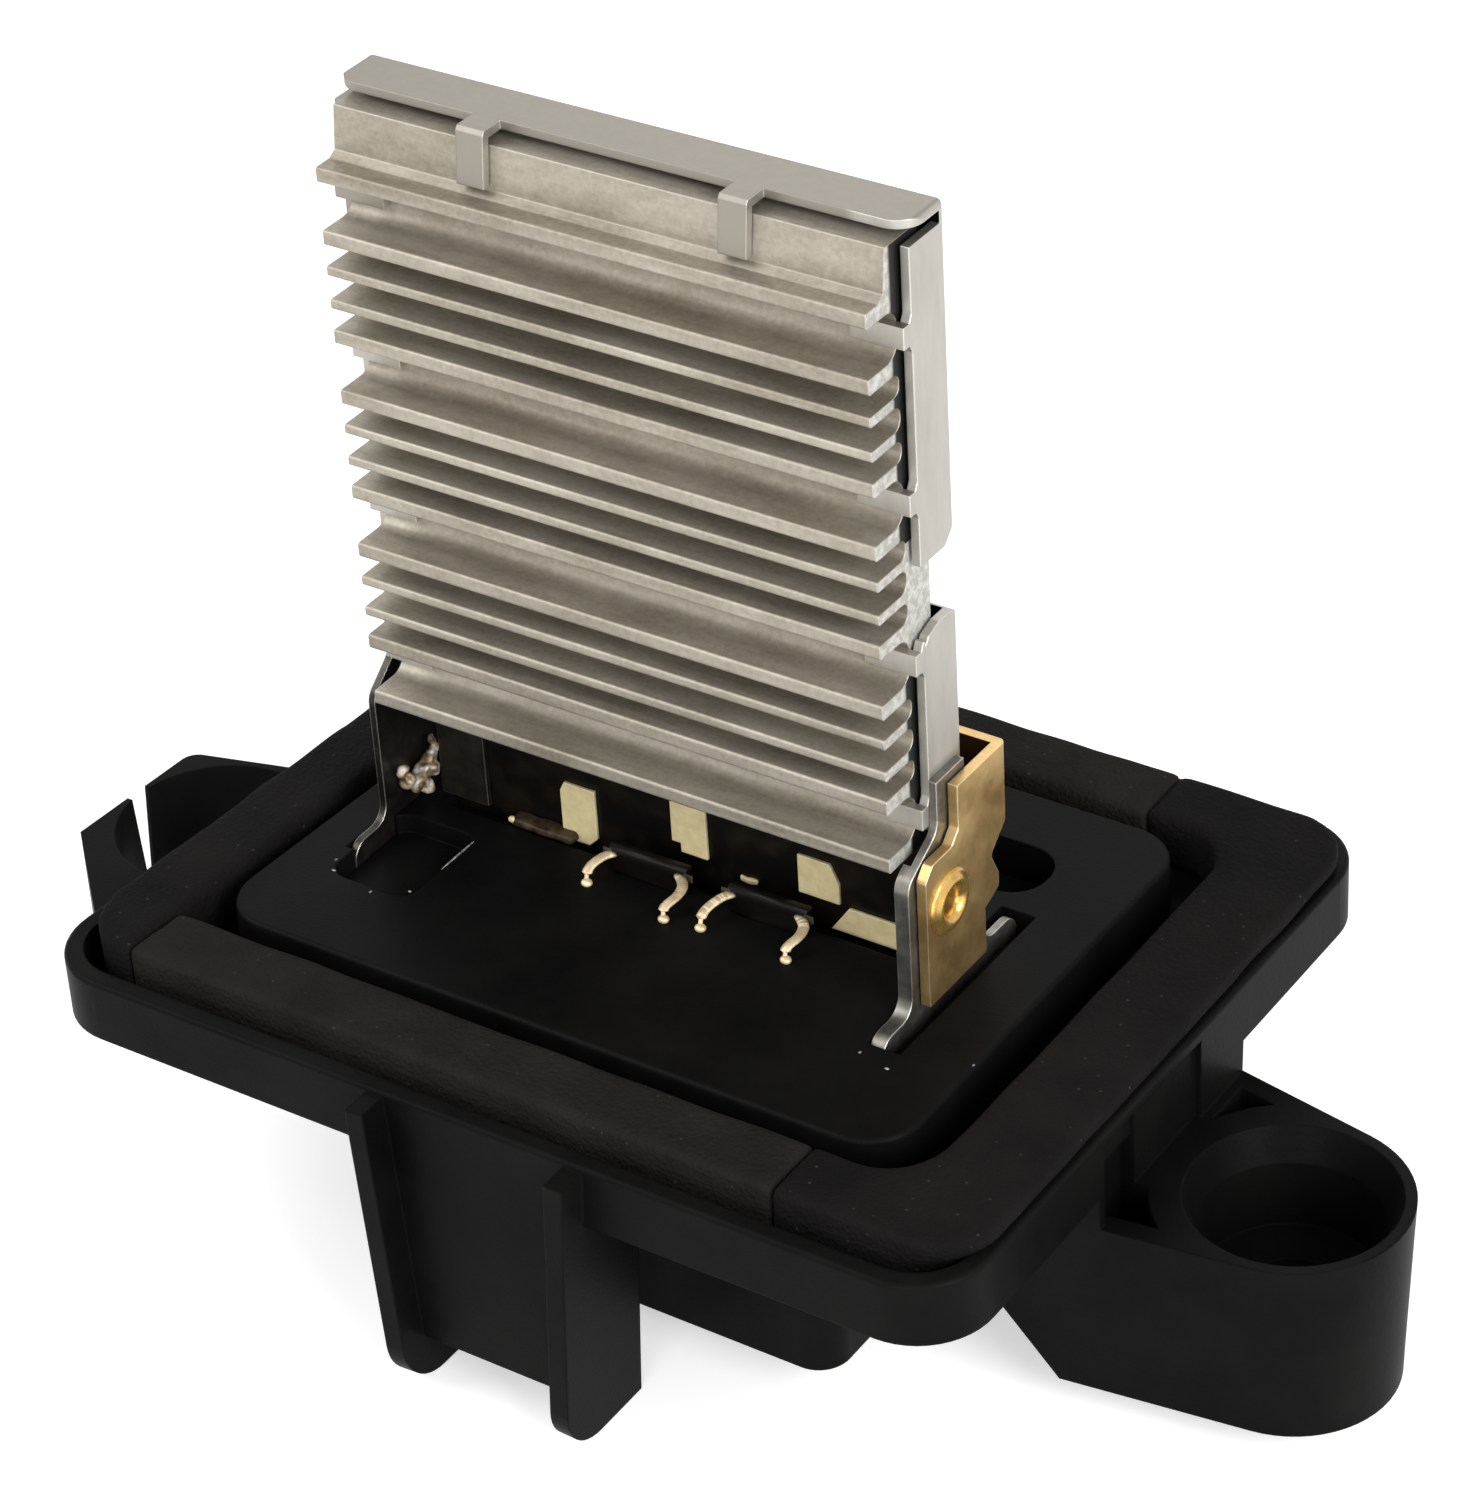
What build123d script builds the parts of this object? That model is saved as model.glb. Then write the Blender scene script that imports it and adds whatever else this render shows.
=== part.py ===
from build123d import *
import math
import os

# Blower motor resistor: a moulded base with a gasket, a connector shroud and a screw boss below,
# and a finned heat sink that stands on it with the resistor card behind the fins.
# Millimetres. X runs along the tray, the connector latch faces -Y, +Z is up.
# The origin is the middle of the tray, level with the top of its lip.

# Further out than any face, for cuts that go right through
past = 90.0

# Tray and plateau; the tray's left end runs askew, by degrees
tray_length = 79.5
tray_width = 63.2
tray_skew = 3.1
tray_corner = 6.0
tray_height = 5.3
lip_width = 1.5
lip_round = 0.4
floor_thickness = 2.1
plateau_margin_left = 8.7
plateau_margin_right = 11.0
plateau_margin_front = 10.6
plateau_margin_rear = 9.2
plateau_corner = 4.5
plateau_rise = 1.4
plateau_wall = 2.0
roof_thickness = 2.4

# Gasket of four foam strips in the tray's channel; the end pieces have crept out over the lip
gasket_rise = 1.7
gasket_seat_gap = 0.1
gasket_left_width = 5.7
gasket_left_creep = 0.3
gasket_right_width = 6.3
gasket_right_creep = 1.2
gasket_strip_width = 5.8
gasket_front_margin = 3.0
gasket_rear_margin = 1.7
gasket_front_joint = 16.1
gasket_rear_joint = 15.9
gasket_corner = 5.0
gasket_joint_gap = 0.05

# Connector shroud and its latch guard
shroud_half_width = 22.0
shroud_front = -20.0
shroud_rear = 12.0
shroud_corner = 2.6
shroud_wall = 1.6
shroud_depth = 23.0
shroud_rib_pitch = 11.0
guard_depth = 22.4
guard_half_top = 8.0
guard_wall = 1.6
wing_thickness = 1.6
wing_front = 2.5
wing_back = 6.9
wing_depth = 26.4
wing_lean = 3.4
wing_tip_round = 4.2

# Screw boss at the right end, with draft in degrees
boss_x = 49.8
boss_y = -0.7
boss_radius = 9.0
boss_draft = 2.4
boss_top = -8.0
boss_bottom = -23.8
boss_corner_x = 36.0
boss_web = 1.8
barrel_radius = 10.4
counterbore_radius = 8.0
counterbore_throat = 6.9
counterbore_lead = 2.7
counterbore_depth = 8.4
screw_hole_radius = 2.9
gusset_start_x = 22.4
gusset_front = -13.4
gusset_rear = 13.7
neck_recess = 1.75
neck_recess_front = -10.2
neck_recess_rear = -5.05
neck_recess_lip = 0.9
neck_skim = 0.5
neck_skim_rear = 3.9
pocket_depth = 9.0
rear_pocket_gap = 0.85
rear_pocket_front = 3.4

# Split locating socket at the left end
lug_reach = 8.4
lug_front = -24.2
lug_shoulder = -16.3
lug_corner = -3.3
lug_rear = -1.0
lug_corner_round = 1.5
lug_root = 1.0
lug_top = -0.3
lug_depth = 8.7
lug_bore_radius = 8.05
lug_bore_y = -10.1
lug_bore_out = -0.05
lug_slit_y = -9.8
lug_slit_wide = 2.0
lug_slit_narrow = 0.7

# Heat sink: one extrusion with fins in groups of four
sink_middle = -3.0
sink_length = 46.0
sink_back = 0.5
sink_root = -2.4
fin_tip = -6.2
fin_thick = 1.2
fin_thin = 0.8
fin_pitch = 2.7
group_pitch = 13.1
group_count = 3
fins_per_group = 4
top_fin_z = 53.2
wide_gap = 5.05
crown_height = 3.75
crown_front = -3.5
crown_lean = 0.4
crown_step = 1.6
groove_round = 1.4
fin_edge_round = 0.2

# Clamp frame of thin sheet round the back and ends of the sink
sheet = 0.7
frame_gap = 0.3
frame_top_gap = 0.6
frame_back_gap = 0.05
flange_front = -2.1
flange_upper_bottom = 37.2
flange_lower_top = 31.6
flange_lower_bottom = 15.0
flange_cut_top = 18.6
flange_cut_front = -1.2
flange_slant = 1.4
flange_notch = 2.6
flange_slit = 0.4
side_tab_height = 1.7
side_tab_reach = 3.3
side_tab_flare = 0.6
top_tab_width = 2.3
top_tab_left = -13.5
top_tab_right = 8.4
top_tab_drop = 4.3
top_corner = 2.0
bend_round = 0.5

# Resistor card between sink and frame
card_thickness = 1.2
card_inset = 1.5
card_bottom = 0.0
card_top = 61.5
card_groove_clearance = 0.15
card_trough = 1.6
card_trough_depth = 0.9
card_seat_gap = 0.05

# Side terminals: flat plates that stand in slots of the plateau, the right one hemmed at its edge
plate_sheet = 0.6
plate_front_left = -5.1
plate_front_right = -6.4
plate_rear = 3.6
plate_shoulder = 12.8
plate_neck = 15.2
plate_neck_front = -2.2
plate_neck_rear = 1.6
plate_top = 19.3
foot_reach = 4.3
foot_rear = 8.2
foot_top = 1.5
foot_round = 1.5
hem_width = 1.4
hem_top = 14.3
slot_clearance = 0.15
slot_trough = 1.65
slot_trough_depth = 1.7
recess_right = 7.7
recess_front = -12.9
recess_rear = -3.5
recess_depth = 1.7
recess_round = 1.6
blade_width = 6.3
blade_thickness = 0.8
blade_end = -18.5
side_blade_x = 16.0
blade_y = -1.7

# Moulded pocket in the plateau, behind the card
pocket_left = 9.4
pocket_right = 21.6
pocket_front = 9.9
pocket_rear = 16.2
pocket_drop = 3.6
pocket_round = 2.9
pocket_wall = 1.4

# Middle terminals: stamped brass with two sprung legs
middle_sheet = 0.8
middle_width = 7.0
middle_pitch = 10.8
middle_centre = 0.8
middle_height = 2.2
middle_front_y = -1.6
leg_width = 0.8
leg_reach = 3.3
leg_height = 0.7
leg_sheet = 0.55

# Bare pads and a tinned strip on the card's face, below the sink
pad_thickness = 0.25
pad_width = 3.2
pad_corner = 0.8
pad_floor = 1.0
pad_shelf = 3.4
pad_left_start = -11.1
pad_left_height = 5.2
pad_centre_start = -0.8
pad_centre_height = 4.4
pad_right_start = 10.6
pad_right_height = 3.4
pad_low_start = 13.4
pad_low_width = 6.0
pad_low_height = 2.3
strip_sheet = 0.4
strip_inset = 0.5
strip_width = 4.4
strip_bottom = 1.6
strip_top = 12.5

# Solder
solder_radius = 1.5
solder_z = 4.2

# Fuse clip and hollow rivet on the right terminal
clip_sheet = 0.8
clip_gap = 0.15
clip_front = -5.5
clip_rear = 2.4
clip_low = 1.9
clip_ear_low = 5.8
clip_ear_reach = 2.0
clip_ear_height = 4.1
clip_shoulder = 13.9
clip_neck_front = -0.9
clip_top = 18.6
clip_arm_rear = 5.9
clip_arm_low = 12.2
clip_return = 4.6
clip_toe = 2.4
clip_round = 1.0
rivet_y = -2.5
rivet_z = 9.5
rivet_head_radius = 2.65
rivet_hole_radius = 1.3
rivet_barrel_radius = 1.7
rivet_head_height = 0.55
rivet_tail = 0.5

os.makedirs("parts", exist_ok=True)


def block(x0, x1, y0, y1, z0, z1):
    """A box between six planes."""
    size = Box(x1 - x0, y1 - y0, z1 - z0, align=(Align.MIN, Align.MIN, Align.MIN))
    return Pos(x0, y0, z0) * size


def rounded(x0, x1, y0, y1, z0, z1, radius):
    """A block with rounded upright corners."""
    plan = RectangleRounded(x1 - x0, y1 - y0, radius)
    return Pos((x0 + x1) / 2, (y0 + y1) / 2, z0) * extrude(plan, z1 - z0)


def profile_x(points, x0, x1):
    """A closed outline of (y, z) points, carried along X."""
    return extrude(Plane.YZ.offset(x0) * Polygon(*points, align=None), x1 - x0, dir=(1, 0, 0))


def profile_y(points, y0, y1):
    """A closed outline of (x, z) points, carried along Y."""
    return extrude(Plane.XZ.offset(-y1) * Polygon(*points, align=None), y1 - y0, dir=(0, -1, 0))


def softened_x(points, corners, radius, x0, x1):
    """A closed outline of (y, z) points with some of its corners rounded, carried along X."""
    face = Polygon(*points, align=None)
    picked = [v for v in face.vertices() if any(math.dist((v.X, v.Y), points[i]) < 0.01 for i in corners)]
    face = fillet(picked, radius)
    return extrude(Plane.YZ.offset(x0) * face, x1 - x0, dir=(1, 0, 0))


def tangent_point(px, py, cx, cy, radius, side):
    """Where the line from a point touches a circle, on the side given by the sign."""
    distance = math.hypot(cx - px, cy - py)
    toward = math.atan2(py - cy, px - cx)
    swing = math.acos(radius / distance)
    angle = toward + side * swing
    return (cx + radius * math.cos(angle), cy + radius * math.sin(angle))


# Values that several pieces share
tray_end = tray_length / 2
tray_side = tray_width / 2
channel_floor = floor_thickness - tray_height
roof_under = plateau_rise - roof_thickness
plateau_right = tray_end - plateau_margin_right
plateau_front = plateau_margin_front - tray_side
plateau_rear = tray_side - plateau_margin_rear
gasket_low = channel_floor + gasket_seat_gap
gasket_left_outer = lip_width + gasket_seat_gap
gasket_left_inner = gasket_left_outer + gasket_left_width
gasket_right_outer = tray_end - lip_width - gasket_seat_gap
gasket_right_inner = gasket_right_outer - gasket_right_width
gasket_front_outer = gasket_front_margin - tray_side
gasket_front_inner = gasket_front_outer + gasket_strip_width
gasket_rear_outer = tray_side - gasket_rear_margin
gasket_rear_inner = gasket_rear_outer - gasket_strip_width
sink_left = sink_middle - sink_length / 2
sink_right = sink_middle + sink_length / 2
card_front = sink_back + card_seat_gap
card_back = card_front + card_thickness
frame_inner_back = card_back + frame_back_gap
frame_outer_back = frame_inner_back + sheet
frame_half_inner = sink_length / 2 + frame_gap
frame_half_outer = frame_half_inner + sheet
sink_top = top_fin_z + wide_gap + fin_thick / 2 + crown_height
low_fin_z = top_fin_z - (group_count - 1) * group_pitch - (fins_per_group - 1) * fin_pitch
sink_bottom = low_fin_z - wide_gap - fin_thick / 2
plate_inner = frame_half_outer + slot_clearance / 3
plate_outer = plate_inner + plate_sheet


def end_x(y, inset):
    """Where the tray's askew left end runs at a given Y, moved inwards by the inset."""
    skew = math.radians(tray_skew)
    return -tray_end + y * math.tan(skew) + inset / math.cos(skew)


def panel(inset, x1, y0, y1, z0, z1, radius):
    """A block whose left side follows the tray's askew end, with rounded upright corners."""
    plan = Polygon((end_x(y0, inset), y0), (x1, y0), (x1, y1), (end_x(y1, inset), y1), align=None)
    if radius > 0:
        plan = fillet(plan.vertices(), radius)
    return Pos(0, 0, z0) * extrude(plan, z1 - z0, dir=(0, 0, 1))


def boss_plan(inset):
    """The screw boss in plan: a round end drawn out to a wide base under the tray."""
    radius = boss_radius - inset
    front = gusset_front + inset
    rear = gusset_rear - inset
    touch_front = tangent_point(gusset_start_x, front, boss_x, boss_y, radius, 1)
    touch_rear = tangent_point(gusset_start_x, rear, boss_x, boss_y, radius, -1)
    corners = [(gusset_start_x, front), touch_front, (boss_x, boss_y), touch_rear, (gusset_start_x, rear)]
    return Polygon(*corners, align=None) + Pos(boss_x, boss_y) * Circle(radius)


def make_tray():
    """The shallow tray: lip, gasket channel, and the plateau cored out from below."""
    outer = panel(0, tray_end, -tray_side, tray_side, -tray_height, 0, tray_corner)
    outer = fillet(outer.edges().group_by(Axis.Z)[-1], lip_round)
    channel = panel(lip_width, tray_end - lip_width, lip_width - tray_side, tray_side - lip_width,
                    channel_floor, plateau_rise, tray_corner - lip_width)
    plateau = panel(plateau_margin_left, plateau_right, plateau_front, plateau_rear,
                    -tray_height, plateau_rise, plateau_corner)
    plateau = fillet(plateau.edges().group_by(Axis.Z)[-1], lip_round)
    core = panel(plateau_margin_left + plateau_wall, plateau_right - plateau_wall, plateau_front + plateau_wall,
                 plateau_rear - plateau_wall, -tray_height - 1, roof_under, plateau_corner - plateau_wall)
    return outer, channel, plateau, core


def make_shroud():
    """The connector shroud, open at the bottom, with ribs that tie it to the plateau's wall."""
    outside = rounded(-shroud_half_width, shroud_half_width, shroud_front, shroud_rear,
                      -shroud_depth, roof_under, shroud_corner)
    inside = rounded(-shroud_half_width + shroud_wall, shroud_half_width - shroud_wall,
                     shroud_front + shroud_wall, shroud_rear - shroud_wall,
                     -shroud_depth - 1, roof_under, shroud_corner - shroud_wall)
    shroud = outside - inside
    for x in (-shroud_rib_pitch, 0, shroud_rib_pitch):
        shroud += block(x - guard_wall / 2, x + guard_wall / 2, shroud_rear - shroud_wall / 2,
                        plateau_rear - plateau_wall / 2, -tray_height, roof_under)
    return shroud


def make_guard():
    """The latch guard at the front: a wall flush with the tray between two leaning wings."""
    slope = math.tan(math.radians(wing_lean))
    half_low = guard_half_top - guard_depth * slope
    outline = [(-guard_half_top, -lip_round), (guard_half_top, -lip_round),
               (half_low, -guard_depth), (-half_low, -guard_depth)]
    guard = profile_y(outline, -tray_side, -tray_side + guard_wall)
    front = -tray_side - wing_front
    rear = -tray_side + wing_back
    blank = Plane.YZ * Polygon((front, -lip_round), (rear, -lip_round), (rear, -wing_depth),
                               (front, -wing_depth), align=None)
    low = blank.vertices().sort_by(Axis.Z)[:2]
    blank = fillet(low.sort_by(Axis.Y)[:1], wing_tip_round)
    plate = extrude(blank, wing_thickness, dir=(1, 0, 0))
    right = Pos(guard_half_top, 0, 0) * Rot(0, wing_lean, 0) * plate
    return guard + right + mirror(right, Plane.YZ)


def make_boss():
    """The screw boss: a drafted lobe round a thick barrel, pocketed beside it and open between its gussets."""
    body = Pos(0, 0, -tray_height) * extrude(boss_plan(0), boss_bottom + tray_height, taper=boss_draft)
    body -= block(tray_end, past, -past, past, boss_top, 0)
    slope = [(gusset_start_x - 1, -tray_height), (gusset_start_x, -tray_height), (boss_corner_x, boss_bottom),
             (boss_corner_x, boss_bottom - 1), (gusset_start_x - 1, boss_bottom - 1)]
    body -= profile_y(slope, -past, past)
    hollow = Pos(0, 0, boss_bottom - 1) * extrude(boss_plan(boss_web), past, dir=(0, 0, 1))
    hollow -= Pos(boss_x, boss_y, boss_bottom - 2) * extrude(Circle(barrel_radius), past)
    cross_wall = tray_end - neck_recess - boss_web
    body -= hollow & block(gusset_start_x - 1, cross_wall, -past, past, boss_bottom - 1, 0)
    floor = boss_top - pocket_depth
    body -= hollow & block(tray_end - neck_recess, past, -past, neck_recess_rear, floor, 0)
    body -= hollow & block(tray_end + rear_pocket_gap, past, rear_pocket_front, past, floor, 0)
    return body


def neck_cuts():
    """The hollows in the tray's right wall, above the boss: a deep one and a shallow one beside it."""
    out = tray_end + 1
    wall = lip_width - neck_recess_lip
    front = neck_recess_front
    rear = neck_recess_rear
    cut = block(tray_end - neck_recess, out, front, rear, boss_top, channel_floor - wall)
    cut += block(tray_end - neck_recess_lip, out, front, rear, boss_top, -neck_recess_lip)
    return cut + block(tray_end - neck_skim, out, rear, neck_skim_rear, boss_top, -2 * neck_skim)


def boss_bore():
    """The lead-in, the counterbore and the screw hole, as one turned shape."""
    throat_z = boss_top - counterbore_lead
    seat_z = boss_top - counterbore_depth
    outline = [(0, 1), (counterbore_radius, 1), (counterbore_radius, boss_top), (counterbore_throat, throat_z),
               (counterbore_throat, seat_z), (screw_hole_radius, seat_z),
               (screw_hole_radius, boss_bottom - 1), (0, boss_bottom - 1)]
    turned = revolve(Plane.XZ * Polygon(*outline, align=None), Axis.Z)
    return Pos(boss_x, boss_y, 0) * turned


def make_lug():
    """The locating socket: a round bore in a sprung wall, split where the wall is thinnest."""
    low = lug_top - lug_depth
    corners = [(lug_front + lug_root, lug_root), (lug_front, 0), (lug_shoulder, -lug_reach),
               (lug_corner, -lug_reach), (lug_rear, 0), (lug_rear, lug_root)]
    plan = Polygon(*[(end_x(y, inset), y) for y, inset in corners], align=None)
    plan = fillet(plan.vertices().filter_by(lambda v: abs(v.Y - lug_corner) < 0.01), lug_corner_round)
    plan -= Pos(end_x(lug_bore_y, -lug_bore_out), lug_bore_y) * Circle(lug_bore_radius)
    ring = Pos(0, 0, low) * extrude(plan, lug_depth, dir=(0, 0, 1))
    slit = [(lug_slit_y - lug_slit_wide / 2, lug_top), (lug_slit_y + lug_slit_wide / 2, lug_top),
            (lug_slit_y + lug_slit_narrow / 2, low), (lug_slit_y - lug_slit_narrow / 2, low)]
    return ring - profile_x(slit, -past, end_x(lug_slit_y, -lug_bore_out))


def plate_outline(front):
    """A side terminal seen from the end: a foot in its slot, a wide plate and a narrow neck."""
    low = roof_under - plate_sheet
    toe = front - foot_reach
    return [(toe, low), (toe, foot_top), (front, foot_top), (front, plate_shoulder),
            (plate_neck_front, plate_neck), (plate_neck_front, plate_top), (plate_neck_rear, plate_top),
            (plate_neck_rear, plate_neck), (plate_rear, plate_shoulder), (plate_rear, foot_top),
            (foot_rear, foot_top), (foot_rear, low)]


def plate_front(side):
    return plate_front_left if side < 0 else plate_front_right


def span_x(side, near, far):
    """Two X values, in order, at these distances from the middle of the sink."""
    a = sink_middle + side * near
    b = sink_middle + side * far
    return min(a, b), max(a, b)


def make_side_terminal(side):
    """A side terminal: the standing plate, a run below the roof and the blade in the shroud."""
    front = plate_front(side)
    outline = plate_outline(front)
    bends = (1, 2, 3, 4, 8, 9, 10)
    plate = softened_x(outline, bends, foot_round, *span_x(side, plate_inner, plate_outer))
    if side > 0:
        hem = softened_x(outline, bends, foot_round, *span_x(side, plate_inner - plate_sheet, plate_inner))
        plate += hem & block(-past, past, -past, front + hem_width, roof_under - plate_sheet, hem_top)
    x_out = sink_middle + side * plate_outer
    blade_x = side * side_blade_x
    run = block(min(blade_x, x_out), max(blade_x, x_out), blade_y - blade_width / 2, blade_y + blade_width / 2,
                roof_under - card_seat_gap - plate_sheet, roof_under - card_seat_gap)
    blade = block(blade_x - blade_thickness / 2, blade_x + blade_thickness / 2, blade_y - blade_width / 2,
                  blade_y + blade_width / 2, blade_end, roof_under - card_seat_gap)
    tip = chamfer(blade.edges().group_by(Axis.Z)[0], blade_thickness / 4)
    return plate + run + tip


def side_slots():
    """The slots for both side terminals, and their way through the shroud's walls."""
    cut = None
    for side in (-1, 1):
        toe = plate_front(side) - foot_reach - slot_clearance
        heel = foot_rear + slot_clearance
        hem = plate_sheet if side > 0 else 0
        x0, x1 = span_x(side, plate_inner - hem - slot_clearance, plate_outer + slot_clearance)
        slot = block(x0, x1, toe, heel, roof_under - 1, plateau_rise + 1)
        x0, x1 = span_x(side, side * (side * side_blade_x - sink_middle), plate_outer)
        wide = blade_width / 2 + slot_clearance
        low = roof_under - card_seat_gap - plate_sheet - slot_clearance
        way = block(x0, x1, blade_y - wide, blade_y + wide, low, roof_under)
        cut = slot + way if cut is None else cut + slot + way
    x0, x1 = span_x(1, plate_outer, plate_outer + slot_trough)
    trough = block(x0, x1, plate_front_right - foot_reach - slot_clearance, foot_rear + slot_clearance,
                   plateau_rise - slot_trough_depth, plateau_rise + 1)
    return cut + trough


def middle_x(side):
    return middle_centre + side * middle_pitch / 2


def middle_tail(side, clearance):
    """The tail of a middle terminal, from the plateau down to its blade's tip."""
    x = middle_x(side)
    half = middle_sheet / 2 + clearance
    wide = blade_width / 2 + clearance
    front = middle_front_y - half
    return block(x - wide, x + wide, front, front + 2 * half, blade_end, plateau_rise + card_seat_gap)


def make_middle_terminal(side):
    """A middle terminal: a low front plate with two S-shaped legs that reach forward."""
    x = middle_x(side)
    low = plateau_rise + card_seat_gap
    front = middle_front_y - middle_sheet / 2
    half = middle_width / 2
    plate = block(x - half, x + half, front, front + middle_sheet, low, low + middle_height)
    plate += middle_tail(side, 0)
    z = low + leg_height
    toe = front - leg_reach
    bend = [(front + 0.1, z + leg_sheet), (front - 0.9, z + leg_sheet), (toe + 0.5, z), (toe, z - leg_sheet),
            (toe, low), (toe - leg_sheet, low), (toe - leg_sheet, z - 0.1), (toe - 0.1, z + leg_sheet),
            (front - 1.2, z + 2 * leg_sheet + 0.1), (front + 0.1, z + 2 * leg_sheet + 0.1)]
    for end in (-1, 1):
        mid = x + end * (middle_width / 2 + leg_width / 2 - 0.2)
        plate += softened_x(bend, (1, 2, 3, 6, 7, 8), leg_sheet / 2, mid - leg_width / 2, mid + leg_width / 2)
    return plate


def make_base():
    """The moulded base: tray, shroud, latch guard, screw boss and locating socket in one piece."""
    outer, channel, plateau, core = make_tray()
    base = outer + make_guard() + make_boss() + make_lug() - core
    base = base + (plateau - core) + make_shroud() - boss_bore()
    base = base - (channel - plateau) - neck_cuts() - side_slots()
    for side in (-1, 1):
        base -= middle_tail(side, slot_clearance)
    groove_left = sink_left + card_inset - card_groove_clearance
    groove_right = sink_right - card_inset + card_groove_clearance
    groove_back = card_back + card_groove_clearance
    base -= block(groove_left, groove_right, card_front - card_groove_clearance, groove_back,
                  card_bottom, plateau_rise + 1)
    base -= block(groove_left, groove_right, card_front - card_trough, groove_back,
                  plateau_rise - card_trough_depth, plateau_rise + 1)
    slot_edge = sink_middle - plate_inner
    base -= rounded(slot_edge, slot_edge + recess_right, recess_front, recess_rear,
                    plateau_rise - recess_depth, plateau_rise + 1, recess_round)
    pocket_floor = plateau_rise - pocket_drop
    base += rounded(pocket_left - pocket_wall, pocket_right + pocket_wall, pocket_front - pocket_wall,
                    pocket_rear + pocket_wall, pocket_floor - pocket_wall, roof_under, pocket_round)
    return base - rounded(pocket_left, pocket_right, pocket_front, pocket_rear,
                          pocket_floor, plateau_rise + 1, pocket_round)


def make_gasket_left():
    """The left strip sits in the channel, and its top has crept out over the lip."""
    strip = panel(gasket_left_outer, 0, gasket_front_outer, gasket_rear_outer,
                  gasket_low, gasket_rise, gasket_corner)
    strip += panel(gasket_left_outer - gasket_left_creep, 0, gasket_front_outer + gasket_corner,
                   gasket_rear_outer - gasket_corner, gasket_seat_gap / 2, gasket_rise, 0)
    return strip - panel(gasket_left_inner, past, -past, past, gasket_low - 1, gasket_rise + 1, 0)


def make_gasket_right():
    """The right piece wraps round both corners of the channel, and its side has crept out over the lip."""
    ring = rounded(-past, gasket_right_outer, gasket_front_outer, gasket_rear_outer,
                   gasket_low, gasket_rise, gasket_corner)
    ring += rounded(-past, gasket_right_outer + gasket_right_creep, gasket_front_outer, gasket_rear_outer,
                    gasket_seat_gap / 2, gasket_rise, gasket_corner)
    ring -= rounded(-past, gasket_right_inner, gasket_front_inner, gasket_rear_inner,
                    gasket_low - 1, gasket_rise + 1, gasket_corner)
    lower = block(tray_end - gasket_front_joint, past, -past, 0, gasket_low, gasket_rise)
    upper = block(tray_end - gasket_rear_joint, past, 0, past, gasket_low, gasket_rise)
    return ring & (lower + upper)


def make_gasket_strip(x1, y0, y1):
    """A straight strip between the left piece and the right one."""
    left = gasket_left_inner + gasket_joint_gap
    return panel(left, x1 - gasket_joint_gap, y0, y1, gasket_low, gasket_rise, 0)


def make_heat_sink():
    """The finned extrusion, drawn in section and carried along its length."""
    blank = Pos((fin_tip + sink_back) / 2, (sink_bottom + sink_top - crown_height) / 2) * Rectangle(
        sink_back - fin_tip, sink_top - crown_height - sink_bottom)
    crown_low = sink_top - crown_height
    foot = crown_low - fin_thick / 4
    lip = crown_front - crown_lean
    crown = Polygon((sink_back, sink_top), (crown_front, sink_top), (lip, crown_low + crown_lean),
                    (crown_front - crown_step, foot), (sink_back, foot), align=None)
    section = blank + crown

    def groove(z_low, z_high):
        height = z_high - z_low
        radius = min(groove_round, height * 0.42)
        width = 2 * (sink_root - fin_tip)
        return Pos(fin_tip, (z_low + z_high) / 2) * RectangleRounded(width, height, radius)

    group_low = (fins_per_group - 1) * fin_pitch
    for group in range(group_count):
        z_top = top_fin_z - group * group_pitch
        section -= groove(z_top + fin_thick / 2, z_top + wide_gap - fin_thick / 2)
        for step in range(fins_per_group - 1):
            over = fin_thick if step == 0 else fin_thin
            under = fin_thick if step == fins_per_group - 2 else fin_thin
            z = z_top - step * fin_pitch
            section -= groove(z - fin_pitch + under / 2, z - over / 2)
    last = top_fin_z - (group_count - 1) * group_pitch - group_low
    section -= groove(last - wide_gap + fin_thick / 2, last - fin_thick / 2)
    tips = [v for v in section.vertices() if abs(v.X - fin_tip) < 0.01]
    section = fillet(tips, fin_edge_round)
    return extrude(Plane.YZ.offset(sink_left) * section, sink_length, dir=(1, 0, 0))


def groove_centres():
    """The heights of the wide grooves, where the frame's tabs are folded in."""
    tops = [top_fin_z - group * group_pitch + wide_gap / 2 for group in range(group_count)]
    return tops + [low_fin_z - wide_gap / 2]


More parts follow.
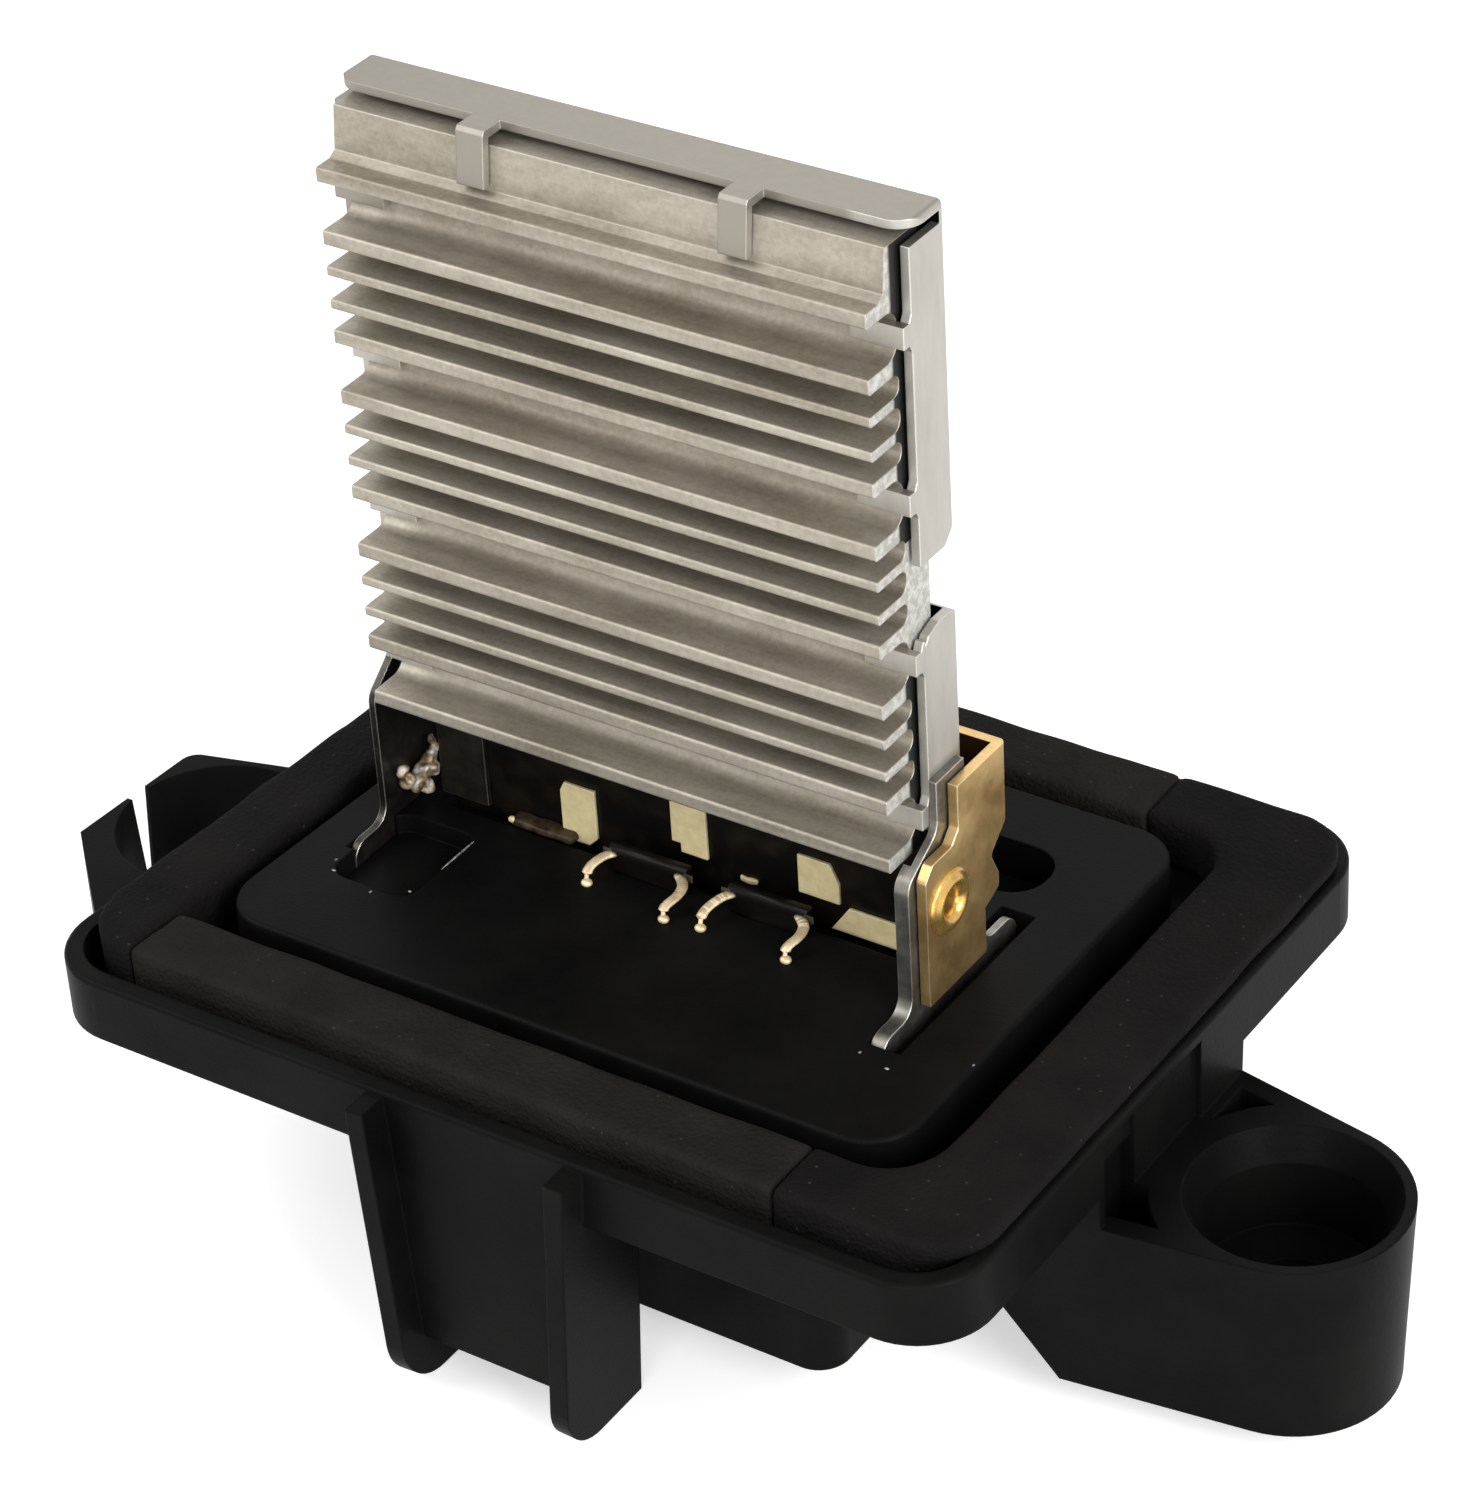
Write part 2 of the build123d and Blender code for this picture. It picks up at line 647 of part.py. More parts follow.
def make_clamp_frame():
    """The sheet frame: a back plate, a top flange and end flanges, folded round the sink."""
    left = sink_middle - frame_half_outer
    right = sink_middle + frame_half_outer
    under = sink_top + frame_top_gap
    top = under + sheet
    low = flange_lower_bottom
    shell = block(left, right, flange_front, frame_outer_back, low, top)
    shell = fillet(shell.edges().filter_by(Axis.Z).sort_by(Axis.Y)[-2:], bend_round)
    back_top = shell.edges().filter_by(Axis.X).group_by(Axis.Z)[-1].sort_by(Axis.Y)[-1:]
    shell = fillet(back_top, bend_round)
    shell -= block(left + sheet, right - sheet, flange_front - 1, frame_inner_back, low - 1, under)
    slant = frame_outer_back - flange_slant
    window = [(flange_front - 1, flange_lower_top - flange_slant), (flange_front, flange_lower_top - flange_slant),
              (flange_front + flange_slant / 2, flange_lower_top - flange_slant / 3), (0, flange_lower_top),
              (slant + bend_round, flange_lower_top), (frame_outer_back, flange_lower_top - bend_round),
              (frame_outer_back + 1, flange_lower_top - bend_round),
              (frame_outer_back + 1, flange_upper_bottom + flange_slant),
              (frame_outer_back, flange_upper_bottom + flange_slant),
              (slant, flange_upper_bottom), (flange_front - 1, flange_upper_bottom)]
    for end in (-1, 1):
        shell -= profile_x(window, *span_x(end, frame_half_outer - flange_notch, frame_half_outer + 1))
    for x0, x1 in ((left - 1, left + sheet), (right - sheet, right + 1)):
        shell -= block(x0, x1, flange_cut_front, frame_outer_back + 1, low - 1, flange_cut_top)
        shell -= block(x0, x1, flange_front - 1, frame_inner_back, sink_top - flange_slit, under)
    for end in (-1, 1):
        x0, x1 = span_x(end, frame_half_outer - top_corner, frame_half_outer + 1)
        x = sink_middle + end * (frame_half_outer - top_corner)
        corner = block(x0, x1, flange_front - 1, flange_front + top_corner, under, top + 1)
        shell -= corner - Pos(x, flange_front + top_corner, under) * extrude(Circle(top_corner), sheet + 1)
    back = crown_front - card_seat_gap
    low_z = top - top_tab_drop
    root = flange_front + sheet / 3
    fold = [(root, top), (back - 2 * sheet / 3, top), (back - sheet, top - sheet / 2),
            (back - sheet - crown_lean, low_z), (back - crown_lean, low_z), (back, under), (root, under)]
    for x in (top_tab_left, top_tab_right):
        shell += profile_x(fold, x - top_tab_width / 2, x + top_tab_width / 2)
    deep = sink_root - card_seat_gap - sheet
    half = side_tab_height / 2
    for z in groove_centres():
        finger = [(deep, z - half), (deep, z + half), (flange_front - side_tab_flare / 2, z + half),
                  (flange_front, z + half + side_tab_flare), (root, z + half + side_tab_flare),
                  (root, z - half - side_tab_flare), (flange_front, z - half - side_tab_flare),
                  (flange_front - side_tab_flare / 2, z - half)]
        for side in (-1, 1):
            x0, x1 = span_x(side, sink_length / 2 - side_tab_reach, frame_half_outer)
            shell += block(x0, x1, deep, deep + sheet, z - half, z + half)
            shell += profile_x(finger, *span_x(side, frame_half_inner, frame_half_outer))
    return shell


def make_card():
    """The resistor card: a thin coated plate that stands in a groove of the plateau."""
    return block(sink_left + card_inset, sink_right - card_inset, card_front, card_back,
                 card_bottom + card_seat_gap, card_top)


def pad(points):
    """One bare pad, as a thin layer on the card's front face."""
    back = card_front - card_seat_gap
    return profile_y(points, back - pad_thickness, back)


def make_pad_left():
    low = pad_floor
    high = low + pad_left_height
    x0 = sink_middle + pad_left_start
    x1 = x0 + pad_width
    return pad([(x0, low), (x1 - pad_corner, low), (x1, low + pad_corner), (x1, high),
                (x0 + pad_corner / 2, high), (x0, high - pad_corner)])


def make_pad_centre():
    low = pad_shelf
    high = low + pad_centre_height
    x0 = sink_middle + pad_centre_start
    x1 = x0 + pad_width
    return pad([(x0, low + pad_corner), (x0 + pad_corner, low + pad_corner), (x0 + pad_corner, low), (x1, low),
                (x1, high), (x0, high)])


def make_pad_right():
    low = pad_shelf
    high = low + pad_right_height
    x0 = sink_middle + pad_right_start
    x1 = x0 + pad_width + pad_corner / 2
    return pad([(x0, low), (x1, low), (x1, high - 2 * pad_corner), (x1 - pad_corner, high), (x0, high)])


def make_pad_low():
    low = pad_floor
    high = low + pad_low_height
    x0 = sink_middle + pad_low_start
    x1 = x0 + pad_low_width
    return pad([(x0, low), (x1, low), (x1, high), (x0 + 2 * pad_corner, high)])


def make_contact_strip():
    """The tinned strip that lies over the card's left end and is soldered to the left terminal."""
    back = card_front - card_seat_gap
    left = sink_left + strip_inset
    return block(left, left + strip_width, back - strip_sheet, back, strip_bottom, strip_top)


def solder_drop():
    """A drop of solder, turned from a few short flats."""
    r = solder_radius
    outline = [(0, -r), (0.6 * r, -0.8 * r), (r, -0.2 * r), (r, 0.2 * r), (0.6 * r, 0.8 * r), (0, r)]
    return revolve(Plane.XZ * Polygon(*outline, align=None), Axis.Z)


def make_solder_left():
    """The solder that bridges the left terminal, the strip and the end of the card."""
    x_plate = sink_middle - plate_inner
    x_card = sink_left + strip_inset
    y = card_front - solder_radius / 2
    blob = Pos((x_plate + x_card) / 2, y, solder_z) * solder_drop()
    blob -= block(-past, x_plate + card_seat_gap / 2, -past, past, 0, past)
    blob -= make_card()
    return blob - make_contact_strip()


def tube_x(x0, x1, outer, inner):
    """A ring or disc about the rivet's axis, which runs along X."""
    ring = Circle(outer) if inner == 0 else Circle(outer) - Circle(inner)
    return Pos(x0, rivet_y, rivet_z) * Rot(0, 90, 0) * extrude(ring, x1 - x0)


def make_right_terminal():
    """The right terminal has the rivet's hole."""
    return make_side_terminal(1) - tube_x(sink_middle + plate_inner - 1, sink_middle + plate_outer + 1,
                                          rivet_barrel_radius, 0)


def make_fuse_clip():
    """The sprung brass clip: riveted below, cranked at its neck and folded round the card's end above."""
    x0 = sink_middle + plate_outer + clip_gap
    x1 = x0 + clip_sheet
    ear = clip_rear + clip_ear_reach
    ear_top = clip_ear_low + clip_ear_height
    outline = [(clip_front, clip_low), (clip_rear, clip_low), (clip_rear, clip_ear_low),
               (ear, clip_ear_low + clip_ear_height / 5), (ear, clip_ear_low + clip_ear_height / 2),
               (ear - clip_ear_reach / 2, ear_top), (clip_arm_rear, clip_arm_low), (clip_arm_rear, clip_top),
               (clip_neck_front, clip_top), (clip_neck_front, clip_shoulder + clip_round),
               (clip_neck_front - clip_round, clip_shoulder), (clip_front + clip_round, clip_shoulder),
               (clip_front, clip_shoulder - clip_round)]
    clip = softened_x(outline, (3, 4, 5, 9, 10, 11, 12), clip_round / 2, x0, x1)
    arm = block(x1 - clip_return, x1, clip_arm_rear - clip_sheet, clip_arm_rear, clip_arm_low, clip_top)
    clip += arm
    bend = clip.edges().filter_by(Axis.Z).group_by(Axis.Y)[-1].sort_by(Axis.X)[-1:]
    clip = fillet(bend, bend_round)
    foot_y = card_back + card_seat_gap
    x_foot = x1 - clip_return
    foot_top_z = flange_lower_bottom - clip_sheet
    clip += block(x_foot, x_foot + clip_sheet, foot_y, clip_arm_rear, clip_arm_low, foot_top_z)
    clip += block(x_foot - clip_toe, x_foot + clip_sheet, foot_y, foot_y + clip_sheet, clip_arm_low, foot_top_z)
    return clip - tube_x(x0 - 1, x1 + 1, rivet_barrel_radius, 0)


def make_solder_fuse():
    """The fusible joint: solder between the clip's foot and the back of the card."""
    x = sink_middle + plate_outer + clip_gap + clip_sheet - clip_return - clip_toe
    z = (clip_arm_low + flange_lower_bottom - clip_sheet) / 2
    y = card_back + card_seat_gap / 2
    half = 2 * solder_radius
    dome = solder_drop() & block(-half, half, 0, half, -half, half)
    return Pos(x, y, z) * dome - make_fuse_clip()


def make_rivet():
    """The hollow rivet: a rolled head outside, a barrel through both sheets, a ring inside."""
    x0 = sink_middle + plate_inner
    x1 = sink_middle + plate_outer + clip_gap + clip_sheet
    head = tube_x(x1, x1 + rivet_head_height, rivet_head_radius, rivet_hole_radius)
    head = chamfer(head.edges().group_by(Axis.X)[-1], rivet_head_height / 2)
    body = tube_x(x0 - rivet_tail, x1, rivet_barrel_radius, rivet_hole_radius)
    tail = tube_x(x0 - rivet_tail, x0, rivet_barrel_radius + rivet_tail, rivet_hole_radius)
    return head + body + tail


def write(node, solid):
    export_step(solid, "parts/" + node + ".step")


write("base_housing", make_base())
write("gasket_left", make_gasket_left())
write("gasket_right", make_gasket_right())
write("gasket_front", make_gasket_strip(tray_end - gasket_front_joint, gasket_front_outer, gasket_front_inner))
write("gasket_rear", make_gasket_strip(tray_end - gasket_rear_joint, gasket_rear_inner, gasket_rear_outer))
write("heat_sink", make_heat_sink())
write("clamp_frame", make_clamp_frame())
write("resistor_card", make_card())
write("left_terminal", make_side_terminal(-1))
write("right_terminal", make_right_terminal())
write("middle_terminal_left", make_middle_terminal(-1))
write("middle_terminal_right", make_middle_terminal(1))
write("contact_pad_left", make_pad_left())
write("contact_pad_centre", make_pad_centre())
write("contact_pad_right", make_pad_right())
write("contact_pad_low", make_pad_low())
write("contact_strip", make_contact_strip())
write("solder_joint", make_solder_left())
write("fuse_clip", make_fuse_clip())
write("fuse_solder", make_solder_fuse())
write("hollow_rivet", make_rivet())
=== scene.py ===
import math

import bmesh
import bpy
from mathutils import Matrix, Vector, noise


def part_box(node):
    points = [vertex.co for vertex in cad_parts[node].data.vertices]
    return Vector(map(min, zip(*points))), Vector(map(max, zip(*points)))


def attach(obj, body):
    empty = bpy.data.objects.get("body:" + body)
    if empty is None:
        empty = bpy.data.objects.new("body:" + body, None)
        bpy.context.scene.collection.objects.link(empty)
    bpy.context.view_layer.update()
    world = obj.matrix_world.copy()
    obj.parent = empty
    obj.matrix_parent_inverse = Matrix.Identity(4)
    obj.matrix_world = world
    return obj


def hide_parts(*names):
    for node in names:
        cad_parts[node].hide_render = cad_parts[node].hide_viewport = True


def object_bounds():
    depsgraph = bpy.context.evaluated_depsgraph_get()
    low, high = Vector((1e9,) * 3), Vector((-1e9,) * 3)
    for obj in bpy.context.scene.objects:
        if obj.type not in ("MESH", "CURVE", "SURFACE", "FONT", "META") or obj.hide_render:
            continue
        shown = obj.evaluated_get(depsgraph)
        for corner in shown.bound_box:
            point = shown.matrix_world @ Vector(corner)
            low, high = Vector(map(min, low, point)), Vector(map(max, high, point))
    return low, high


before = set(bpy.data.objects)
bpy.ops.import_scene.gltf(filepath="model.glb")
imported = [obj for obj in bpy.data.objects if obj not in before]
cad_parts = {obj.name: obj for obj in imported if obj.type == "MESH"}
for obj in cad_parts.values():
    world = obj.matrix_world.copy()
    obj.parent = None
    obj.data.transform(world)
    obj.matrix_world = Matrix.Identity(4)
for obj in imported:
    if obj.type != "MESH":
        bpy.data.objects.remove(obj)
cad_low, cad_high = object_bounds()


# The camera, and the room
# The module stands on a pale floor in soft studio light, seen from the front right and above,
# with the fins and the connector's latch guard facing the camera.
def mm(length):
    """A length or a point given in millimetres, in metres."""
    return length / 1000.0


def camera_matrix(azimuth, elevation, roll, origin_right, origin_down, distance):
    """The camera's place, from the way it looks and where it sees the object's origin."""
    azimuth, elevation, roll = (math.radians(angle) for angle in (azimuth, elevation, roll))
    back = Vector((math.sin(azimuth) * math.cos(elevation),
                   -math.cos(azimuth) * math.cos(elevation), math.sin(elevation)))
    level = (-back).cross(Vector((0, 0, 1))).normalized()
    down = (-back).cross(level)
    right = math.cos(roll) * level + math.sin(roll) * down
    down = math.cos(roll) * down - math.sin(roll) * level
    place = -(origin_right * right + origin_down * down - distance * back)
    turn = Matrix((right, -down, back)).transposed()
    return Matrix.Translation(place) @ turn.to_4x4()


# The photograph's frame, its focal length and the place of the object's origin in it, in pixels.
PHOTO_WIDTH, PHOTO_HEIGHT = 1475, 1500
FOCAL_LENGTH = 4901
ORIGIN_X, ORIGIN_Y = 715.1, 900.95
CAMERA_DISTANCE = mm(371.7)
SENSOR_WIDTH = 36.0

camera_data = bpy.data.cameras.new("camera")
camera_data.sensor_fit = "HORIZONTAL"
camera_data.sensor_width = SENSOR_WIDTH
camera_data.lens = SENSOR_WIDTH * FOCAL_LENGTH / PHOTO_WIDTH
camera_data.clip_start = mm(10)
camera = bpy.data.objects.new("camera", camera_data)
camera.matrix_world = camera_matrix(
    azimuth=35.392, elevation=33.928, roll=3.655,
    origin_right=(ORIGIN_X - PHOTO_WIDTH / 2) * CAMERA_DISTANCE / FOCAL_LENGTH,
    origin_down=(ORIGIN_Y - PHOTO_HEIGHT / 2) * CAMERA_DISTANCE / FOCAL_LENGTH,
    distance=CAMERA_DISTANCE)
bpy.context.scene.collection.objects.link(camera)
bpy.context.scene.camera = camera
bpy.context.scene.view_settings.view_transform = "Standard"


def rgb(code):
    """An sRGB hex colour as the linear colour that a socket takes."""
    parts = [int(code[i:i + 2], 16) / 255.0 for i in (1, 3, 5)]
    return [c / 12.92 if c <= 0.04045 else ((c + 0.055) / 1.055) ** 2.4 for c in parts] + [1.0]


def plug(tree, node, inputs):
    """Fills a node's inputs, each with a plain value or with a link from another node's socket."""
    for name, value in inputs.items():
        if isinstance(value, bpy.types.NodeSocket):
            tree.links.new(value, node.inputs[name])
        else:
            node.inputs[name].default_value = value


def add_node(tree, kind, inputs=None, stops=(), **settings):
    """Adds a node with its inputs, a ramp's two stops as place and colour, and its settings."""
    node = tree.nodes.new(kind)
    for name, value in settings.items():
        setattr(node, name, value)
    plug(tree, node, inputs or {})
    for i, (position, colour) in enumerate(stops):
        node.color_ramp.elements[i].position = position
        node.color_ramp.elements[i].color = rgb(colour)
    return node


def add_lamp(name, place, size, power, aim=(0, 0, 15)):
    """A square soft box that faces the object: its places and size are in millimetres."""
    data = bpy.data.lights.new(name, "AREA")
    data.shape = "SQUARE"
    data.size = mm(size)
    data.energy = power
    lamp = bpy.data.objects.new(name, data)
    place, aim = mm(Vector(place)), mm(Vector(aim))
    turn = (place - aim).to_track_quat("Z", "Y").to_matrix()
    lamp.matrix_world = Matrix.Translation(place) @ turn.to_4x4()
    bpy.context.scene.collection.objects.link(lamp)


add_lamp("soft_box_left", (-420, -260, 420), size=380, power=2.3)
add_lamp("soft_box_right", (460, -160, 240), size=300, power=3.1)
add_lamp("soft_box_back", (-200, 430, 400), size=360, power=0.4)
add_lamp("soft_box_front", (160, -560, 170), size=240, power=1.35, aim=(0, 0, 25))


def seen_rays(tree):
    """1 for a ray that shows the room itself: from the camera, off gloss or through glass."""
    rays = add_node(tree, "ShaderNodeLightPath")
    seen = rays.outputs["Is Camera Ray"]
    for kind in ("Is Glossy Ray", "Is Transmission Ray"):
        either = add_node(tree, "ShaderNodeMath", {0: seen, 1: rays.outputs[kind]},
                          operation="MAXIMUM")
        seen = either.outputs["Value"]
    return seen


world = bpy.data.worlds.new("room")
bpy.context.scene.world = world
world.use_nodes = True
tree = world.node_tree
tree.nodes.clear()
room_light = add_node(tree, "ShaderNodeBackground", {"Color": rgb("#edecea"), "Strength": 0.5})
room_seen = add_node(tree, "ShaderNodeBackground", {"Color": rgb("#ffffff"), "Strength": 1.0})
room = add_node(tree, "ShaderNodeMixShader", {
    "Fac": seen_rays(tree), 1: room_light.outputs[0], 2: room_seen.outputs[0]})
add_node(tree, "ShaderNodeOutputWorld", {"Surface": room.outputs[0]})

FLOOR_DROP = mm(0.1)
FLOOR_REACH = mm(3000)
floor_mesh = bmesh.new()
bmesh.ops.create_grid(floor_mesh, x_segments=1, y_segments=1, size=FLOOR_REACH)
bmesh.ops.translate(floor_mesh, vec=(0, 0, cad_low[2] - FLOOR_DROP), verts=floor_mesh.verts)
floor_data = bpy.data.meshes.new("floor")
floor_mesh.to_mesh(floor_data)
floor_mesh.free()
floor = bpy.data.objects.new("floor", floor_data)
bpy.context.scene.collection.objects.link(floor)

# Matt paper shows the shadow softly, and the rays that show the room see it lifted to near white.
floor_paper = bpy.data.materials.new("pale_paper")
floor_paper.use_nodes = True
tree = floor_paper.node_tree
tree.nodes.clear()
paper = add_node(tree, "ShaderNodeBsdfDiffuse", {"Color": rgb("#e2e2e2")})
lift = add_node(tree, "ShaderNodeEmission", {"Color": rgb("#ffffff"), "Strength": 0.5})
lifted = add_node(tree, "ShaderNodeAddShader", {0: paper.outputs[0], 1: lift.outputs[0]})
seen = add_node(tree, "ShaderNodeMixShader", {
    "Fac": seen_rays(tree), 1: paper.outputs[0], 2: lifted.outputs[0]})
add_node(tree, "ShaderNodeOutputMaterial", {"Surface": seen.outputs[0]})
floor_data.materials.append(floor_paper)


# Moulded base
# One injection moulding in black glass-filled nylon: tray, plateau, connector shroud, latch guard,
# screw boss and locating socket. The steel tool was spark-eroded, which leaves a fine satin grain.
def start_material(name):
    """An empty material with a shader, its output and the object's coordinates."""
    material = bpy.data.materials.new(name)
    material.use_nodes = True
    tree = material.node_tree
    tree.nodes.clear()
    place = add_node(tree, "ShaderNodeTexCoord").outputs["Object"]
    shader = add_node(tree, "ShaderNodeBsdfPrincipled")
    add_node(tree, "ShaderNodeOutputMaterial", {"Surface": shader.outputs["BSDF"]})
    return material, tree, shader, place


def dress(node, material):
    """Gives a part of the frame its finish."""
    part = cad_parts[node]
    part.data.materials.clear()
    part.data.materials.append(material)


# Black nylon swallows most of the light: it shows a wide, faint sheen, a soft line on each edge and
# clouds from the flow in the mould. The real grain is finer, and is drawn coarser so that it shows.
NYLON_CLOUD = mm(14)
NYLON_GRAIN = mm(0.3)
NYLON_EDGE = mm(0.25)
housing_nylon, tree, shader, place = start_material("moulded_black_nylon")
cloud = add_node(tree, "ShaderNodeTexNoise", {
    "Vector": place, "Scale": 1 / NYLON_CLOUD, "Detail": 4.0, "Roughness": 0.6})
tint = add_node(tree, "ShaderNodeValToRGB", {"Fac": cloud.outputs["Fac"]},
                stops=((0.3, "#070707"), (0.72, "#121211")))
grain = add_node(tree, "ShaderNodeTexNoise", {
    "Vector": place, "Scale": 1 / NYLON_GRAIN, "Detail": 2.0})
rough = add_node(tree, "ShaderNodeMapRange", {
    "Value": cloud.outputs["Fac"], "To Min": 0.36, "To Max": 0.5})
edge = add_node(tree, "ShaderNodeBevel", {"Radius": NYLON_EDGE}, samples=4)
bump = add_node(tree, "ShaderNodeBump", {
    "Height": grain.outputs["Fac"], "Normal": edge.outputs["Normal"],
    "Strength": 0.45, "Distance": mm(0.04)})
plug(tree, shader, {
    "Base Color": tint.outputs["Color"], "Roughness": rough.outputs["Result"],
    "Normal": bump.outputs["Normal"], "IOR": 1.53, "Specular IOR Level": 0.03})
dress("base_housing", housing_nylon)


# Flash on the moulding, and a painted edge highlight
# Specks of the same nylon, whitened by stress where the gates and cores pulled away, and a painted
# highlight along the edge of the left terminal's pocket.
def put_in_order(shape):
    """Sorts points by place, then edges and faces by their points, because bevel, extrude and spin
    may give them in another order on each run."""
    for i, vert in enumerate(sorted(shape.verts, key=lambda vert: vert.co[:])):
        vert.index = i
    shape.verts.sort()
    for parts in (shape.edges, shape.faces):
        places = sorted(parts, key=lambda part: sorted(vert.index for vert in part.verts))
        for i, part in enumerate(places):
            part.index = i
        parts.sort()


def show(shape, name, material):
    """Makes a shown object of a finished bmesh and frees it."""
    put_in_order(shape)
    data = bpy.data.meshes.new(name)
    shape.to_mesh(data)
    shape.free()
    data.materials.append(material)
    data.shade_smooth()
    piece = bpy.data.objects.new(name, data)
    bpy.context.scene.collection.objects.link(piece)
    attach(piece, "root")
    return piece


# Torn nylon is full of tiny cracks, so it looks pale, dusty and uneven. The same colour draws the
# painted highlight.
FLECK = mm(0.5)
pale_nylon, tree, shader, place = start_material("whitened_nylon_and_painted_highlight")
flecks = add_node(tree, "ShaderNodeTexNoise", {"Vector": place, "Scale": 1 / FLECK, "Detail": 3.0})
tint = add_node(tree, "ShaderNodeValToRGB", {"Fac": flecks.outputs["Fac"]},
                stops=((0.35, "#3a3b3d"), (0.65, "#9a9c9e")))
plug(tree, shader, {
    "Base Color": tint.outputs["Color"], "Roughness": 0.6, "Specular IOR Level": 0.2})

# Middle and half size of each mark on the plateau, in millimetres: the last, long one is a painted
# highlight on the pocket's edge.
MARKS_AND_HIGHLIGHT = (
    ((-27.4, -11.3), (0.11, 0.16)), ((-26.7, -12.5), (0.2, 0.12)), ((-22.5, -13.4), (0.1, 0.16)),
    ((-19.9, -11.9), (0.14, 0.1)), ((20.6, -12.0), (0.12, 0.16)), ((23.3, -12.7), (0.2, 0.12)),
    ((28.5, -9.3), (0.1, 0.14)), ((-19.5, -6.2), (0.09, 2.3)))
MARK_HEIGHT = 0.06
PLATEAU_TOP = 1.4
marks = bmesh.new()
for (x, y), (half_x, half_y) in MARKS_AND_HIGHLIGHT:
    lies = Matrix.Translation(mm(Vector((x, y, PLATEAU_TOP))))
    flat = Matrix.Diagonal((half_x, half_y, MARK_HEIGHT, 1.0))
    bmesh.ops.create_icosphere(marks, subdivisions=2, radius=mm(1.0), matrix=lies @ flat)
show(marks, "moulding_marks_and_highlight", pale_nylon)


# Gasket
# Four strips of closed-cell foam rubber, cut from sheet and stuck into the tray's channel. The end
# pieces are darker and denser than the two long strips.
FOAM_CELL, FOAM_PIT, FOAM_BLOTCH, DUST_GAP = mm(0.4), mm(0.5), mm(6), mm(1.3)


def foam_material(name, dark, light):
    """Foam rubber: its cut cells take up light, so it looks flat and matt, with specks of dust."""
    material, tree, shader, place = start_material(name)
    cells = add_node(tree, "ShaderNodeTexVoronoi", {"Vector": place, "Scale": 1 / FOAM_CELL})
    pits = add_node(tree, "ShaderNodeTexNoise", {
        "Vector": place, "Scale": 1 / FOAM_PIT, "Detail": 3.0})
    blotch = add_node(tree, "ShaderNodeTexNoise", {
        "Vector": place, "Scale": 1 / FOAM_BLOTCH, "Detail": 5.0})
    tint = add_node(tree, "ShaderNodeValToRGB", {"Fac": blotch.outputs["Fac"]},
                    stops=((0.3, dark), (0.75, light)))
    dust = add_node(tree, "ShaderNodeTexVoronoi", {
        "Vector": place, "Scale": 1 / DUST_GAP, "Randomness": 1.0})
    speck = add_node(tree, "ShaderNodeMapRange", {
        "Value": dust.outputs["Distance"], "From Min": 0.06, "From Max": 0.1,
        "To Min": 0.35, "To Max": 0.0})
    dusty = add_node(tree, "ShaderNodeMix", {
        "Factor": speck.outputs["Result"], "A": tint.outputs["Color"], "B": rgb("#4c4a45")},
        data_type="RGBA")
    rise = add_node(tree, "ShaderNodeMath", {0: cells.outputs["Distance"], 1: pits.outputs["Fac"]},
                    operation="ADD")
    bump = add_node(tree, "ShaderNodeBump", {
        "Height": rise.outputs["Value"], "Strength": 0.8, "Distance": mm(0.12)})
    plug(tree, shader, {
        "Base Color": dusty.outputs["Result"], "Normal": bump.outputs["Normal"],
        "Roughness": 0.85, "Specular IOR Level": 0.07})
    return material


def melt_together(shape, name, voxel, turns):
    """Remeshes a rough shape at an even grain, softens its edges, and gives it back as a bmesh."""
    data = bpy.data.meshes.new(name)
    shape.to_mesh(data)
    shape.free()
    rough = bpy.data.objects.new(name, data)
    bpy.context.scene.collection.objects.link(rough)
    remesh = rough.modifiers.new("even", "REMESH")
    remesh.mode = "VOXEL"
    remesh.voxel_size = voxel
    soften = rough.modifiers.new("soften", "SMOOTH")
    soften.factor = 0.5
    soften.iterations = turns
    evaluated = rough.evaluated_get(bpy.context.evaluated_depsgraph_get())
    even = bpy.data.meshes.new_from_object(evaluated)
    bpy.data.objects.remove(rough)
    bpy.data.meshes.remove(data)
    shape = bmesh.new()
    shape.from_mesh(even)
    bpy.data.meshes.remove(even)
    return shape


def ripple(shape, height, width, seed):
    """Moves each point along its normal by a smooth noise."""
    shape.normal_update()
    shift = Vector((seed, 0, 0))
    moves = [(v, v.normal * height * noise.noise(v.co / width + shift)) for v in shape.verts]
    for vert, move in moves:
        vert.co += move


def merged_copy(node):
    """A bmesh of a part of the frame, with its loose triangles joined up."""
    shape = bmesh.new()
    shape.from_mesh(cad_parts[node].data)
    bmesh.ops.remove_doubles(shape, verts=shape.verts, dist=mm(0.001))
    return shape


FOAM_VOXEL = mm(0.45)
FOAM_WAVE_HEIGHT, FOAM_WAVE_WIDTH = mm(0.12), mm(5)
SEED_STEP = 7.0
end_foam = foam_material("dense_foam_rubber", "#0c0b0b", "#151413")
strip_foam = foam_material("soft_foam_rubber", "#161513", "#201f1d")
for number, (node, foam) in enumerate((
        ("gasket_left", end_foam), ("gasket_right", end_foam),
        ("gasket_front", strip_foam), ("gasket_rear", strip_foam))):
    shape = melt_together(merged_copy(node), node + "_blank", FOAM_VOXEL, 3)
    ripple(shape, FOAM_WAVE_HEIGHT, FOAM_WAVE_WIDTH, number * SEED_STEP)
    strip = show(shape, node + "_foam", foam)
    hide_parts(node)
